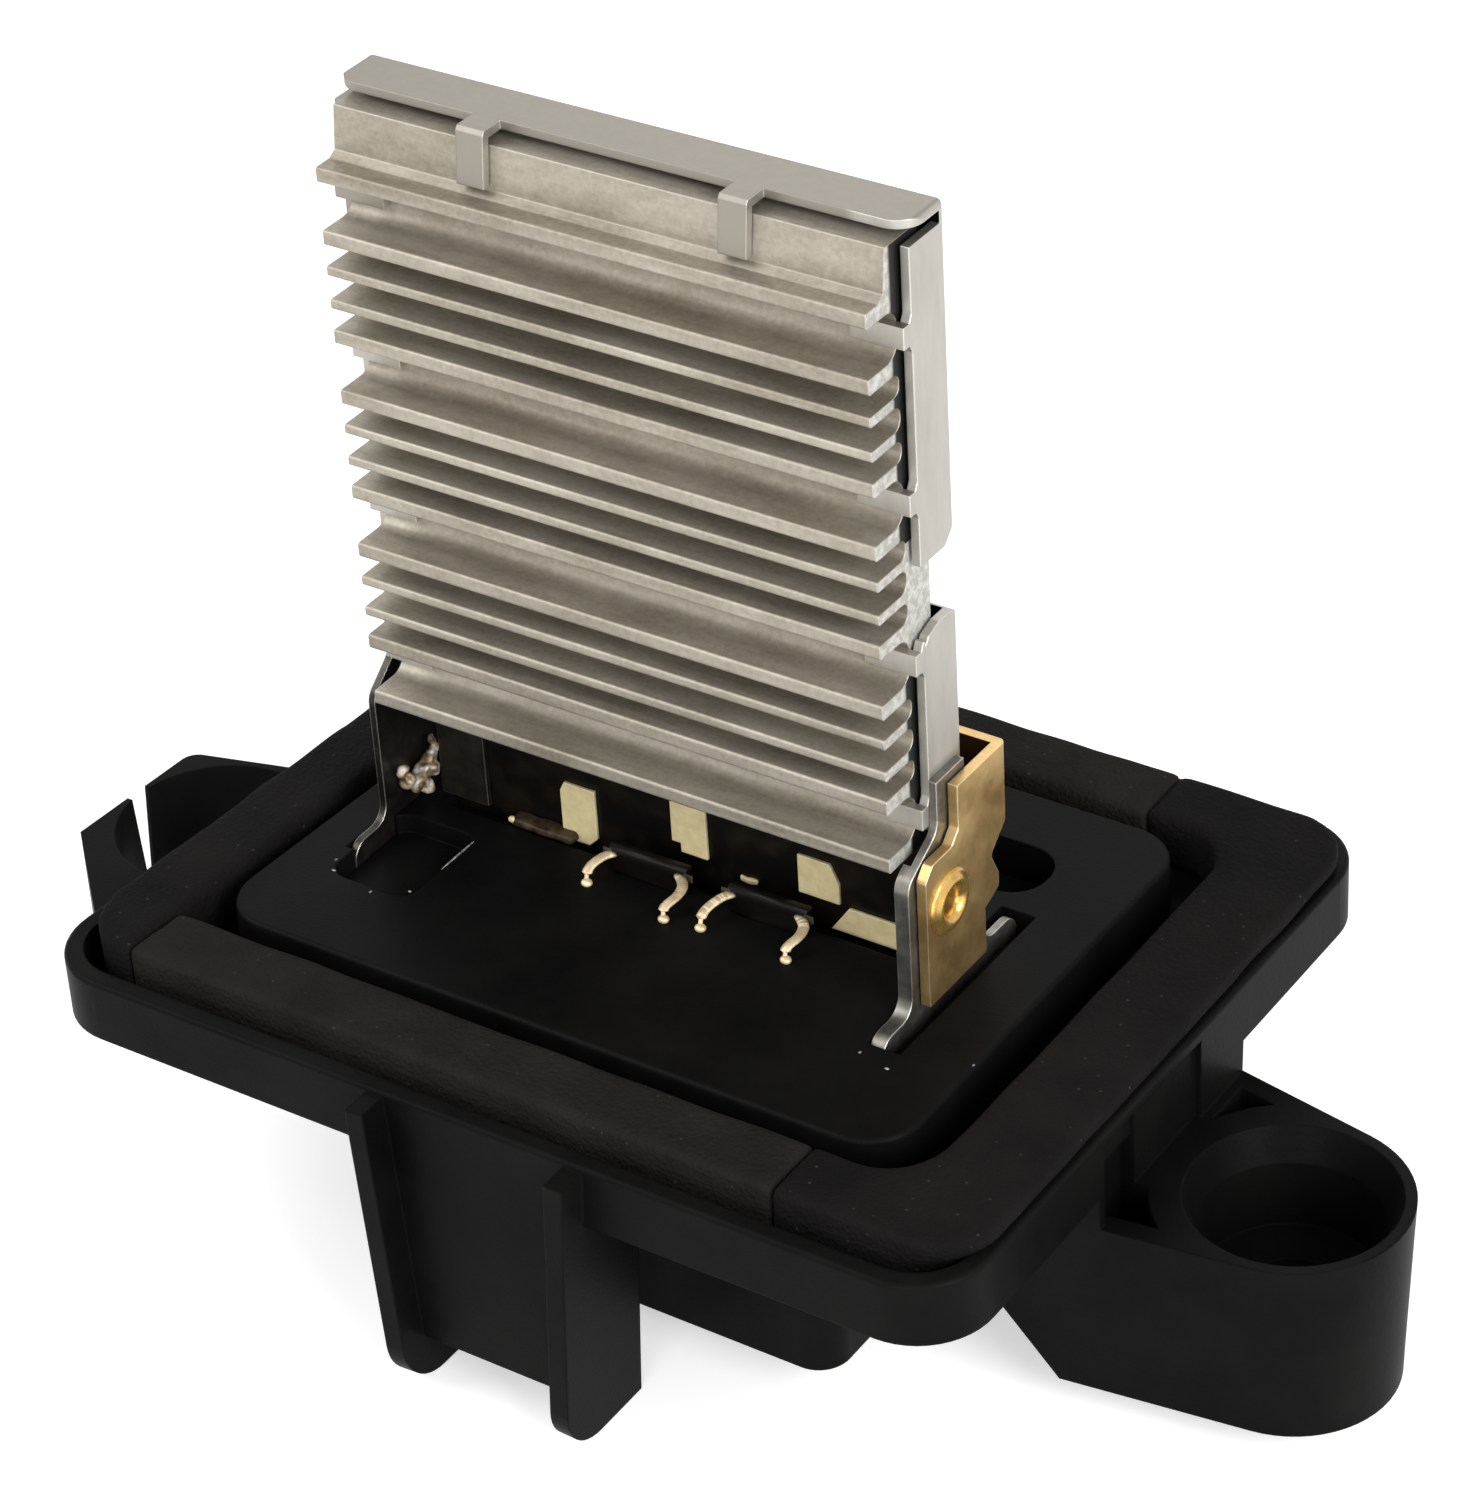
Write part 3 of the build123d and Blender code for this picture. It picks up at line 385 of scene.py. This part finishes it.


# Heat sink
# An aluminium extrusion, sawn to length: the fins carry fine die lines along their whole length and
# the grooves hold brownish stains. Its fin edges carry a painted highlight, its sawn ends are
# paler, and a painted shadow darkens the end faces of its base, except at the frame's notch.
def bevel_and_edge_highlight(tree, radius):
    """A rounded normal, and an edge mask for a painted highlight: 0 on a face and up to 1 on an
    edge.
    """
    edge = add_node(tree, "ShaderNodeBevel", {"Radius": radius}, samples=4)
    face = add_node(tree, "ShaderNodeNewGeometry")
    lean = add_node(tree, "ShaderNodeVectorMath", {
        0: edge.outputs["Normal"], 1: face.outputs["Normal"]}, operation="DOT_PRODUCT")
    edge_highlight_mask = add_node(tree, "ShaderNodeMapRange", {
        "Value": lean.outputs["Value"], "From Min": 0.98, "From Max": 0.8})
    return edge.outputs["Normal"], edge_highlight_mask.outputs["Result"]


def facing_and_spot(tree, place):
    """The way that a point faces and where it lies, each split into X, Y and Z."""
    normal = add_node(tree, "ShaderNodeNewGeometry").outputs["Normal"]
    facing = add_node(tree, "ShaderNodeSeparateXYZ", {"Vector": normal})
    return facing.outputs, add_node(tree, "ShaderNodeSeparateXYZ", {"Vector": place}).outputs


def zone(tree, *limits):
    """A mask that is 1 where every limit is passed. A limit is a socket, the value where the zone
    starts, and the value where it is full."""
    inside = None
    for socket, start, full in limits:
        step = add_node(tree, "ShaderNodeMapRange", {
            "Value": socket, "From Min": start, "From Max": full}).outputs["Result"]
        if inside is not None:
            step = add_node(tree, "ShaderNodeMath", {0: inside, 1: step},
                            operation="MULTIPLY").outputs["Value"]
        inside = step
    return inside


# Mill-finish aluminium has a soft grey sheen, drawn out along the fins by the lines of the die. Its
# sawn ends are torn, so they scatter light and look paler. The real lines and grit are finer, and
# are drawn as coarse as they need to show.
DIE_LINE, STAIN, GRIT, SAW_TEAR = mm(0.35), mm(4), mm(0.45), mm(0.6)
SINK_EDGE = mm(0.18)
sink_aluminium, tree, shader, place = start_material("extruded_aluminium")
along_fins = add_node(tree, "ShaderNodeMapping", {"Vector": place, "Scale": (0.02, 1.0, 1.0)})
die_lines = add_node(tree, "ShaderNodeTexNoise", {
    "Vector": along_fins.outputs["Vector"], "Scale": 1 / DIE_LINE, "Detail": 3.0})
drawn_out = add_node(tree, "ShaderNodeMapping", {"Vector": place, "Scale": (0.3, 1.0, 1.0)})
stain_noise = add_node(tree, "ShaderNodeTexNoise", {
    "Vector": drawn_out.outputs["Vector"], "Scale": 1 / STAIN, "Detail": 7.0, "Roughness": 0.65})
grit_noise = add_node(tree, "ShaderNodeTexNoise", {
    "Vector": place, "Scale": 1 / GRIT, "Detail": 3.0, "Roughness": 0.7})
grit = add_node(tree, "ShaderNodeMapRange", {
    "Value": grit_noise.outputs["Fac"], "To Min": -0.22, "To Max": 0.22})
speckled = add_node(tree, "ShaderNodeMath", {
    0: stain_noise.outputs["Fac"], 1: grit.outputs["Result"]}, operation="ADD")
tint = add_node(tree, "ShaderNodeValToRGB", {"Fac": speckled.outputs["Value"]},
                stops=((0.28, "#837b6d"), (0.7, "#aea89c")))
# Painted highlight: the colour is made paler along every edge.
rounded, edge_highlight_mask = bevel_and_edge_highlight(tree, SINK_EDGE)
with_edge_highlight = add_node(tree, "ShaderNodeMix", {
    "Factor": edge_highlight_mask, "A": tint.outputs["Color"], "B": rgb("#bdb7ab")}, data_type="RGBA")

facing, spot = facing_and_spot(tree, place)
sideways = add_node(tree, "ShaderNodeMath", {0: facing["X"]}, operation="ABSOLUTE")
to_an_end = (sideways.outputs["Value"], 0.85, 0.95)
sawn = zone(tree, to_an_end)
torn_noise = add_node(tree, "ShaderNodeTexNoise", {
    "Vector": place, "Scale": 1 / SAW_TEAR, "Detail": 4.0, "Roughness": 0.7})
torn = add_node(tree, "ShaderNodeValToRGB", {"Fac": torn_noise.outputs["Fac"]},
                stops=((0.42, "#96948d"), (0.6, "#b6b4ae")))
ends = add_node(tree, "ShaderNodeMix", {
    "Factor": sawn, "A": with_edge_highlight.outputs["Result"], "B": torn.outputs["Color"]}, data_type="RGBA")

# Painted shadow: the end faces of the base behind the fins are painted near black, in the narrow
# gap by the frame's ends; the notch is left out.
NOTCH_MIDDLE, NOTCH_HALF = mm(34.6), mm(4.4)
behind_fins = (spot["Y"], mm(-3.3), mm(-3.0))
at_notch = add_node(tree, "ShaderNodeMath", {0: spot["Z"], 1: NOTCH_MIDDLE, 2: NOTCH_HALF},
                    operation="COMPARE")
gap_shadow = add_node(tree, "ShaderNodeMath", {
    0: zone(tree, behind_fins, to_an_end), 1: at_notch.outputs["Value"]},
    operation="SUBTRACT", use_clamp=True)
with_gap_shadow = add_node(tree, "ShaderNodeMix", {
    "Factor": gap_shadow.outputs["Value"], "A": ends.outputs["Result"], "B": rgb("#0e0c0a")},
    data_type="RGBA")

rough = add_node(tree, "ShaderNodeMapRange", {
    "Value": die_lines.outputs["Fac"], "To Min": 0.42, "To Max": 0.6})
shine = add_node(tree, "ShaderNodeMapRange", {"Value": sawn, "To Min": 0.75, "To Max": 0.2})
bump = add_node(tree, "ShaderNodeBump", {
    "Height": die_lines.outputs["Fac"], "Normal": rounded, "Strength": 0.35, "Distance": mm(0.03)})
plug(tree, shader, {
    "Base Color": with_gap_shadow.outputs["Result"], "Metallic": shine.outputs["Result"],
    "Roughness": rough.outputs["Result"], "Normal": bump.outputs["Normal"]})
dress("heat_sink", sink_aluminium)


# Clamp frame
# Thin aluminium sheet, pressed and folded round the back, top and ends of the sink. Its tabs are
# bent into the sink's wide grooves. Painted shade darkens its front- and top-facing faces over the
# crown, and a painted shadow blackens the front-facing back wall beside the sink.

# Rolled sheet is smoother and brighter than the extrusion, with faint streaks up its height and a
# painted highlight along its edges.
STREAK, SHEET_WEAR = mm(0.5), mm(3)
SHEET_EDGE = mm(0.15)
frame_sheet, tree, shader, place = start_material("rolled_sheet_metal")
upright = add_node(tree, "ShaderNodeMapping", {"Vector": place, "Scale": (1.0, 1.0, 0.05)})
streaks = add_node(tree, "ShaderNodeTexNoise", {
    "Vector": upright.outputs["Vector"], "Scale": 1 / STREAK, "Detail": 4.0})
rolled = add_node(tree, "ShaderNodeMapping", {"Vector": place, "Scale": (1.0, 1.0, 0.2)})
wear = add_node(tree, "ShaderNodeTexNoise", {
    "Vector": rolled.outputs["Vector"], "Scale": 1 / SHEET_WEAR, "Detail": 7.0, "Roughness": 0.7})
tint = add_node(tree, "ShaderNodeValToRGB", {"Fac": wear.outputs["Fac"]},
                stops=((0.3, "#a09c95"), (0.7, "#b3b0a9")))
# Painted highlight: the colour is made paler along every edge.
rounded, edge_highlight_mask = bevel_and_edge_highlight(tree, SHEET_EDGE)
with_edge_highlight = add_node(tree, "ShaderNodeMix", {
    "Factor": edge_highlight_mask, "A": tint.outputs["Color"], "B": rgb("#dddbd5")}, data_type="RGBA")

facing, spot = facing_and_spot(tree, place)
to_front = (facing["Y"], -0.5, -0.8)
to_top = (facing["Z"], 0.6, 0.9)
by_crown = (spot["Z"], mm(52.0), mm(53.0))
inboard = (spot["X"], mm(17.0), mm(16.0))
on_back_wall = (spot["Y"], mm(0.8), mm(1.0))
colour = with_edge_highlight.outputs["Result"]
# Painted shade on the front-facing faces over the crown inboard of 16 mm and on its top faces, and
# a painted shadow on the front-facing back wall.
for limits, shade in (((to_front, by_crown, inboard), "#8e8980"),
                      ((to_top, by_crown), "#8b867c"),
                      ((to_front, on_back_wall), "#0c0b0b")):
    shaded = add_node(tree, "ShaderNodeMix", {
        "Factor": zone(tree, *limits), "A": colour, "B": rgb(shade)}, data_type="RGBA")
    colour = shaded.outputs["Result"]

rough = add_node(tree, "ShaderNodeMapRange", {
    "Value": streaks.outputs["Fac"], "To Min": 0.36, "To Max": 0.52})
bump = add_node(tree, "ShaderNodeBump", {
    "Height": streaks.outputs["Fac"], "Normal": rounded, "Strength": 0.15, "Distance": mm(0.02)})
plug(tree, shader, {
    "Base Color": colour, "Metallic": 0.85,
    "Roughness": rough.outputs["Result"], "Normal": bump.outputs["Normal"]})
dress("clamp_frame", frame_sheet)


# Resistor card
# A thin ceramic plate printed with resistor tracks and covered with a dark, near-black glassy coat.
# The coat is lumpy where it runs over the tracks, and browner where it is thin.

# Fired glaze has small wet glints on its lumps, and is black everywhere else.
CARD_LUMP = mm(2.5)
card_coat, tree, shader, place = start_material("glazed_dark_coat")
mottle = add_node(tree, "ShaderNodeTexNoise", {
    "Vector": place, "Scale": 1 / CARD_LUMP, "Detail": 4.0})
tint = add_node(tree, "ShaderNodeValToRGB", {"Fac": mottle.outputs["Fac"]},
                stops=((0.45, "#040303"), (0.8, "#1a130b")))
bump = add_node(tree, "ShaderNodeBump", {
    "Height": mottle.outputs["Fac"], "Strength": 0.5, "Distance": mm(0.12)})
plug(tree, shader, {
    "Base Color": tint.outputs["Color"], "Normal": bump.outputs["Normal"],
    "Roughness": 0.38, "Specular IOR Level": 0.25})
dress("resistor_card", card_coat)


# Terminals
# Stamped strip: the two side plates are tinned, the left one tarnished. The middle pair is phosphor
# bronze: each has a plate, painted near black as shade, and two pale legs, bent outwards and down
# to a soldered foot.
def stamped_metal(name, dark, light, edge_highlight_colour, roughness, metallic, patch=1.5):
    """Stamped metal: patches of two tones as it has dulled, and a painted highlight along its
    edges. A patch's size is in millimetres."""
    material, tree, shader, place = start_material(name)
    marks = add_node(tree, "ShaderNodeTexNoise", {
        "Vector": place, "Scale": 1 / mm(patch), "Detail": 5.0, "Roughness": 0.65})
    tint = add_node(tree, "ShaderNodeValToRGB", {"Fac": marks.outputs["Fac"]},
                    stops=((0.3, dark), (0.7, light)))
    # Painted highlight: the colour is made paler along every edge.
    rounded, edge_highlight_mask = bevel_and_edge_highlight(tree, SHEET_EDGE)
    with_edge_highlight = add_node(tree, "ShaderNodeMix", {
        "Factor": edge_highlight_mask, "A": tint.outputs["Color"], "B": rgb(edge_highlight_colour)}, data_type="RGBA")
    rough = add_node(tree, "ShaderNodeMapRange", {
        "Value": marks.outputs["Fac"], "To Min": roughness - 0.08, "To Max": roughness + 0.1})
    bump = add_node(tree, "ShaderNodeBump", {
        "Height": marks.outputs["Fac"], "Normal": rounded, "Strength": 0.12, "Distance": mm(0.05)})
    plug(tree, shader, {
        "Base Color": with_edge_highlight.outputs["Result"], "Metallic": metallic,
        "Roughness": rough.outputs["Result"], "Normal": bump.outputs["Normal"]})
    return material, tree, shader, place


def lay_painted_shade(tree, shader, mask, colour):
    """Lays a painted shade, as a colour, over a finished metal where a mask is 1."""
    unshaded = shader.inputs["Base Color"].links[0].from_socket
    shaded_colour = add_node(tree, "ShaderNodeMix", {"Factor": mask, "A": unshaded, "B": rgb(colour)},
                    data_type="RGBA")
    plug(tree, shader, {"Base Color": shaded_colour.outputs["Result"]})


# Tin plate is a soft grey with a painted highlight along its edges, and goes dark and smoky where
# it tarnishes.
tinned = stamped_metal("tinned_strip", "#615e59", "#8d8a83", "#dedbd3", 0.38, 0.9)[0]
tarnished = stamped_metal(
    "tarnished_tinned_strip", "#242220", "#403d39", "#c9c6be", 0.36, 0.85)[0]
dress("left_terminal", tarnished)
dress("right_terminal", tinned)

# Worked bronze is a pale gold on the legs. The plates, which lie behind the legs and above the
# plateau, carry painted shade: near black and not metallic.
bronze, tree, shader, place = stamped_metal(
    "phosphor_bronze", "#b79d74", "#ecdcb8", "#f3e6ca", 0.42, 0.35, 1.0)
spot = add_node(tree, "ShaderNodeSeparateXYZ", {"Vector": place}).outputs
# Painted shade: the plates behind the legs are painted near black and lose their metal shine.
on_plate = zone(tree, (spot["Y"], mm(-2.3), mm(-2.0)), (spot["Z"], mm(-1.0), mm(0.5)))
lay_painted_shade(tree, shader, on_plate, "#0d0907")
shine = add_node(tree, "ShaderNodeMapRange", {"Value": on_plate, "To Min": 0.35, "To Max": 0.0})
plug(tree, shader, {"Metallic": shine.outputs["Result"], "Specular IOR Level": 0.15})

# Points of a leg in millimetres, from the middle of its plate: the last one is its foot. Each leg
# reaches a little more or less far forward than these, and is slimmer in its neck over the foot.
LEFT_LEG = ((-3.1, -1.7, 2.9), (-3.6, -2.4, 2.9), (-3.95, -3.2, 2.75), (-4.2, -3.95, 2.5),
            (-4.2, -4.5, 2.15), (-3.95, -4.9, 1.6))
RIGHT_LEG = ((2.7, -1.8, 2.9), (3.35, -2.3, 2.9), (3.85, -2.9, 2.85), (3.95, -3.8, 2.65),
             (3.6, -4.8, 2.4), (3.55, -5.15, 2.1), (3.8, -5.45, 1.6))
LEG_WIDTH, LEG_THICKNESS = mm(0.85), mm(0.5)
NECK, NECK_POINTS = 0.4, 3
FOOT_RADIUS, FOOT_SHAPE = mm(0.42), (1.1, 1.0, 0.75, 1.0)
PLATE_FACE = mm(-2.02)
CREASE = math.radians(50)


def draw_leg(shape, points):
    """Draws an oval section along points, with their corners cut twice, and rounds off the foot."""
    for _ in range(2):
        cut = [a.lerp(b, t) for a, b in zip(points, points[1:]) for t in (0.25, 0.75)]
        points = [points[0]] + cut[1:-1] + [points[-1]]
    section = bmesh.ops.create_circle(shape, cap_ends=True, segments=14, radius=0.5)["verts"]
    end = section[0].link_faces[0]
    stood = Matrix.Identity(4)
    for i, point in enumerate(points):
        ahead = (points[min(i + 1, len(points) - 1)] - points[max(i - 1, 0)]).normalized()
        level = ahead.cross(Vector((0, 0, 1))).normalized()
        slim = NECK if i >= len(points) - NECK_POINTS else 1.0
        across, through = level * LEG_WIDTH * slim, level.cross(ahead) * LEG_THICKNESS * slim
        stands = Matrix((across, through, ahead)).transposed().to_4x4()
        stands.translation = point
        if i:
            grown = bmesh.ops.extrude_face_region(shape, geom=[end])["geom"]
            section = [part for part in grown if isinstance(part, bmesh.types.BMVert)]
            end = next(part for part in grown if isinstance(part, bmesh.types.BMFace))
        bmesh.ops.transform(shape, matrix=stands @ stood.inverted(), verts=section)
        stood = stands
    foot = Matrix.Translation(points[-1]) @ Matrix.Diagonal(FOOT_SHAPE)
    bmesh.ops.create_icosphere(shape, subdivisions=3, radius=FOOT_RADIUS, matrix=foot)


for node, reaches in (("middle_terminal_left", (0.9, 1.05)),
                      ("middle_terminal_right", (1.1, 1.0))):
    low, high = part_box(node)
    middle = Vector(((low[0] + high[0]) / 2, 0, 0))
    shape = merged_copy(node)
    bmesh.ops.bisect_plane(
        shape, geom=shape.verts[:] + shape.edges[:] + shape.faces[:],
        plane_co=(0, PLATE_FACE, 0), plane_no=(0, -1, 0), clear_outer=True)
    bmesh.ops.holes_fill(shape, edges=[edge for edge in shape.edges if edge.is_boundary])
    for leg, reach in zip((LEFT_LEG, RIGHT_LEG), reaches):
        root = leg[0][1]
        draw_leg(shape, [
            middle + mm(Vector((x, root + (y - root) * reach, z))) for x, y, z in leg])
    bmesh.ops.recalc_face_normals(shape, faces=shape.faces)
    bent = show(shape, node + "_bent", bronze)
    bent.data.set_sharp_from_angle(angle=CREASE)
    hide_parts(node)


# Bare pads and strip on the card
# Places where the dark coat is left open: pale gold-plated pads, and one dull tinned strip. Brown
# epoxy cement was dabbed on beside them, and set in a bead with a pale drop on its end.

# Thin gold over a matt print is a flat pale yellow, and old tin under flux is nearly black.
pad_gold = stamped_metal(
    "pale_gold_plate", "#d3c292", "#e6d7a8", "#f3e9c6", 0.5, 0.15, 0.8)[0]
strip_tin = stamped_metal("dull_tin", "#1d1a17", "#34302a", "#7d786c", 0.45, 0.7)[0]
for pad_name in ("contact_pad_left", "contact_pad_centre", "contact_pad_right", "contact_pad_low"):
    dress(pad_name, pad_gold)
dress("contact_strip", strip_tin)

# Epoxy sets with a dull skin: brown and lumpy, paler where it stands up.
CEMENT_LUMP = mm(0.9)
cement, tree, shader, place = start_material("brown_epoxy_cement")
lumps = add_node(tree, "ShaderNodeTexNoise", {
    "Vector": place, "Scale": 1 / CEMENT_LUMP, "Detail": 4.0})
tint = add_node(tree, "ShaderNodeValToRGB", {"Fac": lumps.outputs["Fac"]},
                stops=((0.35, "#1d150d"), (0.7, "#453825")))
bump = add_node(tree, "ShaderNodeBump", {
    "Height": lumps.outputs["Fac"], "Strength": 0.4, "Distance": mm(0.1)})
plug(tree, shader, {
    "Base Color": tint.outputs["Color"], "Normal": bump.outputs["Normal"],
    "Roughness": 0.45, "Specular IOR Level": 0.2})

# A bead of cement between the card and the plateau, left of the first pad, the drop on its end,
# and a short pale dash on the card: middle and size of each in millimetres.
BEAD_ROUNDING = 0.4
BEAD_WAVE_HEIGHT, BEAD_WAVE_WIDTH, BEAD_SEED = mm(0.2), mm(0.9), 2.0
LONG_EDGE = mm(0.5)
for name, middle, size, finish, slot in (
        ("cement_bead", (-15.6, -0.1, 1.55), (5.8, 1.4, 0.75), cement, "card_ceramic"),
        ("bead_drop", (-18.4, -0.5, 1.62), (0.85, 0.6, 0.6), pad_gold, "bare_pad"),
        ("card_dash", (3.0, 0.45, 2.7), (1.6, 0.3, 0.45), pad_gold, "bare_pad")):
    bead = bmesh.new()
    stretched = Matrix.Diagonal([mm(length) for length in size] + [1.0])
    bmesh.ops.create_cube(bead, size=1.0, matrix=stretched)
    bmesh.ops.bevel(bead, geom=bead.edges[:] + bead.verts[:], offset=mm(min(size)) * BEAD_ROUNDING,
                    segments=3, profile=0.5, affect="EDGES", material=-1)
    bmesh.ops.translate(bead, vec=mm(Vector(middle)), verts=bead.verts)
    long_edges = [edge for edge in bead.edges if edge.calc_length() > LONG_EDGE]
    bmesh.ops.subdivide_edges(bead, edges=long_edges, cuts=5)
    bmesh.ops.triangulate(bead, faces=bead.faces)
    ripple(bead, BEAD_WAVE_HEIGHT, BEAD_WAVE_WIDTH, BEAD_SEED)
    show(bead, name, finish)


# Solder
# Two joints of soft solder. The left one froze in a rough, spiky lump with traces of brown flux,
# the fusible one behind the card in a smooth drop.

# Solder that froze slowly is a dull, pale grey, and burnt flux lies brown in its hollows.
FLUX_PATCH = mm(1.1)
solder, tree, shader, place = start_material("soft_solder")
flux = add_node(tree, "ShaderNodeTexNoise", {
    "Vector": place, "Scale": 1 / FLUX_PATCH, "Detail": 4.0})
tint = add_node(tree, "ShaderNodeValToRGB", {"Fac": flux.outputs["Fac"]},
                stops=((0.4, "#4a3b2b"), (0.62, "#c9c3b8")))
thin_flux = tint.color_ramp.elements.new(0.5)
thin_flux.color = rgb("#8b7659")
bump = add_node(tree, "ShaderNodeBump", {
    "Height": flux.outputs["Fac"], "Strength": 0.7, "Distance": mm(0.2)})
plug(tree, shader, {
    "Base Color": tint.outputs["Color"], "Normal": bump.outputs["Normal"],
    "Roughness": 0.55, "Metallic": 0.35})
dress("fuse_solder", solder)

# Middle and radius of each blob that ran into the lump, in millimetres.
SOLDER_BLOBS = (
    ((-26.1, -0.5, 4.2), 0.85), ((-26.2, -1.3, 4.0), 0.75), ((-26.3, -2.2, 3.6), 0.7),
    ((-26.3, -3.1, 4.4), 0.65), ((-26.3, -3.5, 5.2), 0.5), ((-26.1, -1.2, 2.7), 0.6),
    ((-25.9, -0.2, 5.4), 0.55), ((-26.0, 0.0, 6.3), 0.4))
SOLDER_VOXEL = mm(0.16)
SPIKE_HEIGHT, SPIKE_WIDTH, SPIKE_SEED = mm(0.45), mm(0.6), 3.0
lump = bmesh.new()
for middle, radius in SOLDER_BLOBS:
    bmesh.ops.create_icosphere(lump, subdivisions=3, radius=mm(radius),
                               matrix=Matrix.Translation(mm(Vector(middle))))
lump = melt_together(lump, "solder_blank", SOLDER_VOXEL, 2)
ripple(lump, SPIKE_HEIGHT, SPIKE_WIDTH, SPIKE_SEED)
lump = show(lump, "solder_lump", solder)
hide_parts("solder_joint")


# Fuse clip and rivet
# A sprung clip of brass sheet, and the hollow brass rivet that holds it: its head was rolled over
# to a raised ring round the hole.

# Brass sheet has a warm yellow sheen; painted shade browns the clip's front-facing inner face.
clip_brass, tree, shader, place = stamped_metal(
    "brass_sheet", "#a58452", "#dcbc83", "#fbe9c0", 0.34, 0.85, 4.0)
facing, spot = facing_and_spot(tree, place)
# Painted shade: the front-facing inner face of the clip's back arm is painted dark brown.
inner_face = zone(tree, (facing["Y"], -0.5, -0.8), (spot["Y"], mm(3.5), mm(4.5)))
lay_painted_shade(tree, shader, inner_face, "#3d2a17")
dress("fuse_clip", clip_brass)

# The rolling tool polishes the head, so it is the brightest brass. The section is given as radius
# and height over the head's seat in millimetres, round the bore from its mouth to its inner end.
rivet_brass = stamped_metal("turned_brass", "#b58d48", "#d9b56c", "#ffedbe", 0.26, 0.85)[0]
HEAD_RISE = 0.55
HEAD_SECTION = (
    (1.05, -1.2), (1.05, -0.3), (1.15, 0.15), (1.4, 0.42), (1.65, 0.55), (1.95, 0.5),
    (2.15, 0.3), (2.35, 0.26), (2.55, 0.18), (2.64, 0.05), (2.62, 0.0), (1.7, 0.0))
TAIL_SECTION = ((1.7, 0.5), (2.15, 0.45), (2.2, 0.1), (1.9, 0.0), (1.3, 0.0), (1.05, 0.3))
rivet_low, rivet_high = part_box("hollow_rivet")
inner_end = (rivet_low[0] - rivet_high[0]) * 1000.0 + HEAD_RISE
section = HEAD_SECTION + tuple((radius, inner_end + height) for radius, height in TAIL_SECTION)
seat = rivet_high[0] - mm(HEAD_RISE)
middle = Vector((0, (rivet_low[1] + rivet_high[1]) / 2, (rivet_low[2] + rivet_high[2]) / 2))
ring = bmesh.new()
points = [ring.verts.new(Vector((seat + mm(height), 0, mm(radius))) + middle)
          for radius, height in section]
seam = [ring.edges.new((point, points[(i + 1) % len(points)])) for i, point in enumerate(points)]
bmesh.ops.spin(ring, geom=points + seam, cent=middle, axis=(1, 0, 0), angle=2 * math.pi,
               steps=48, use_merge=True)
bmesh.ops.recalc_face_normals(ring, faces=ring.faces)
rivet = show(ring, "rolled_rivet", rivet_brass)
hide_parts("hollow_rivet")
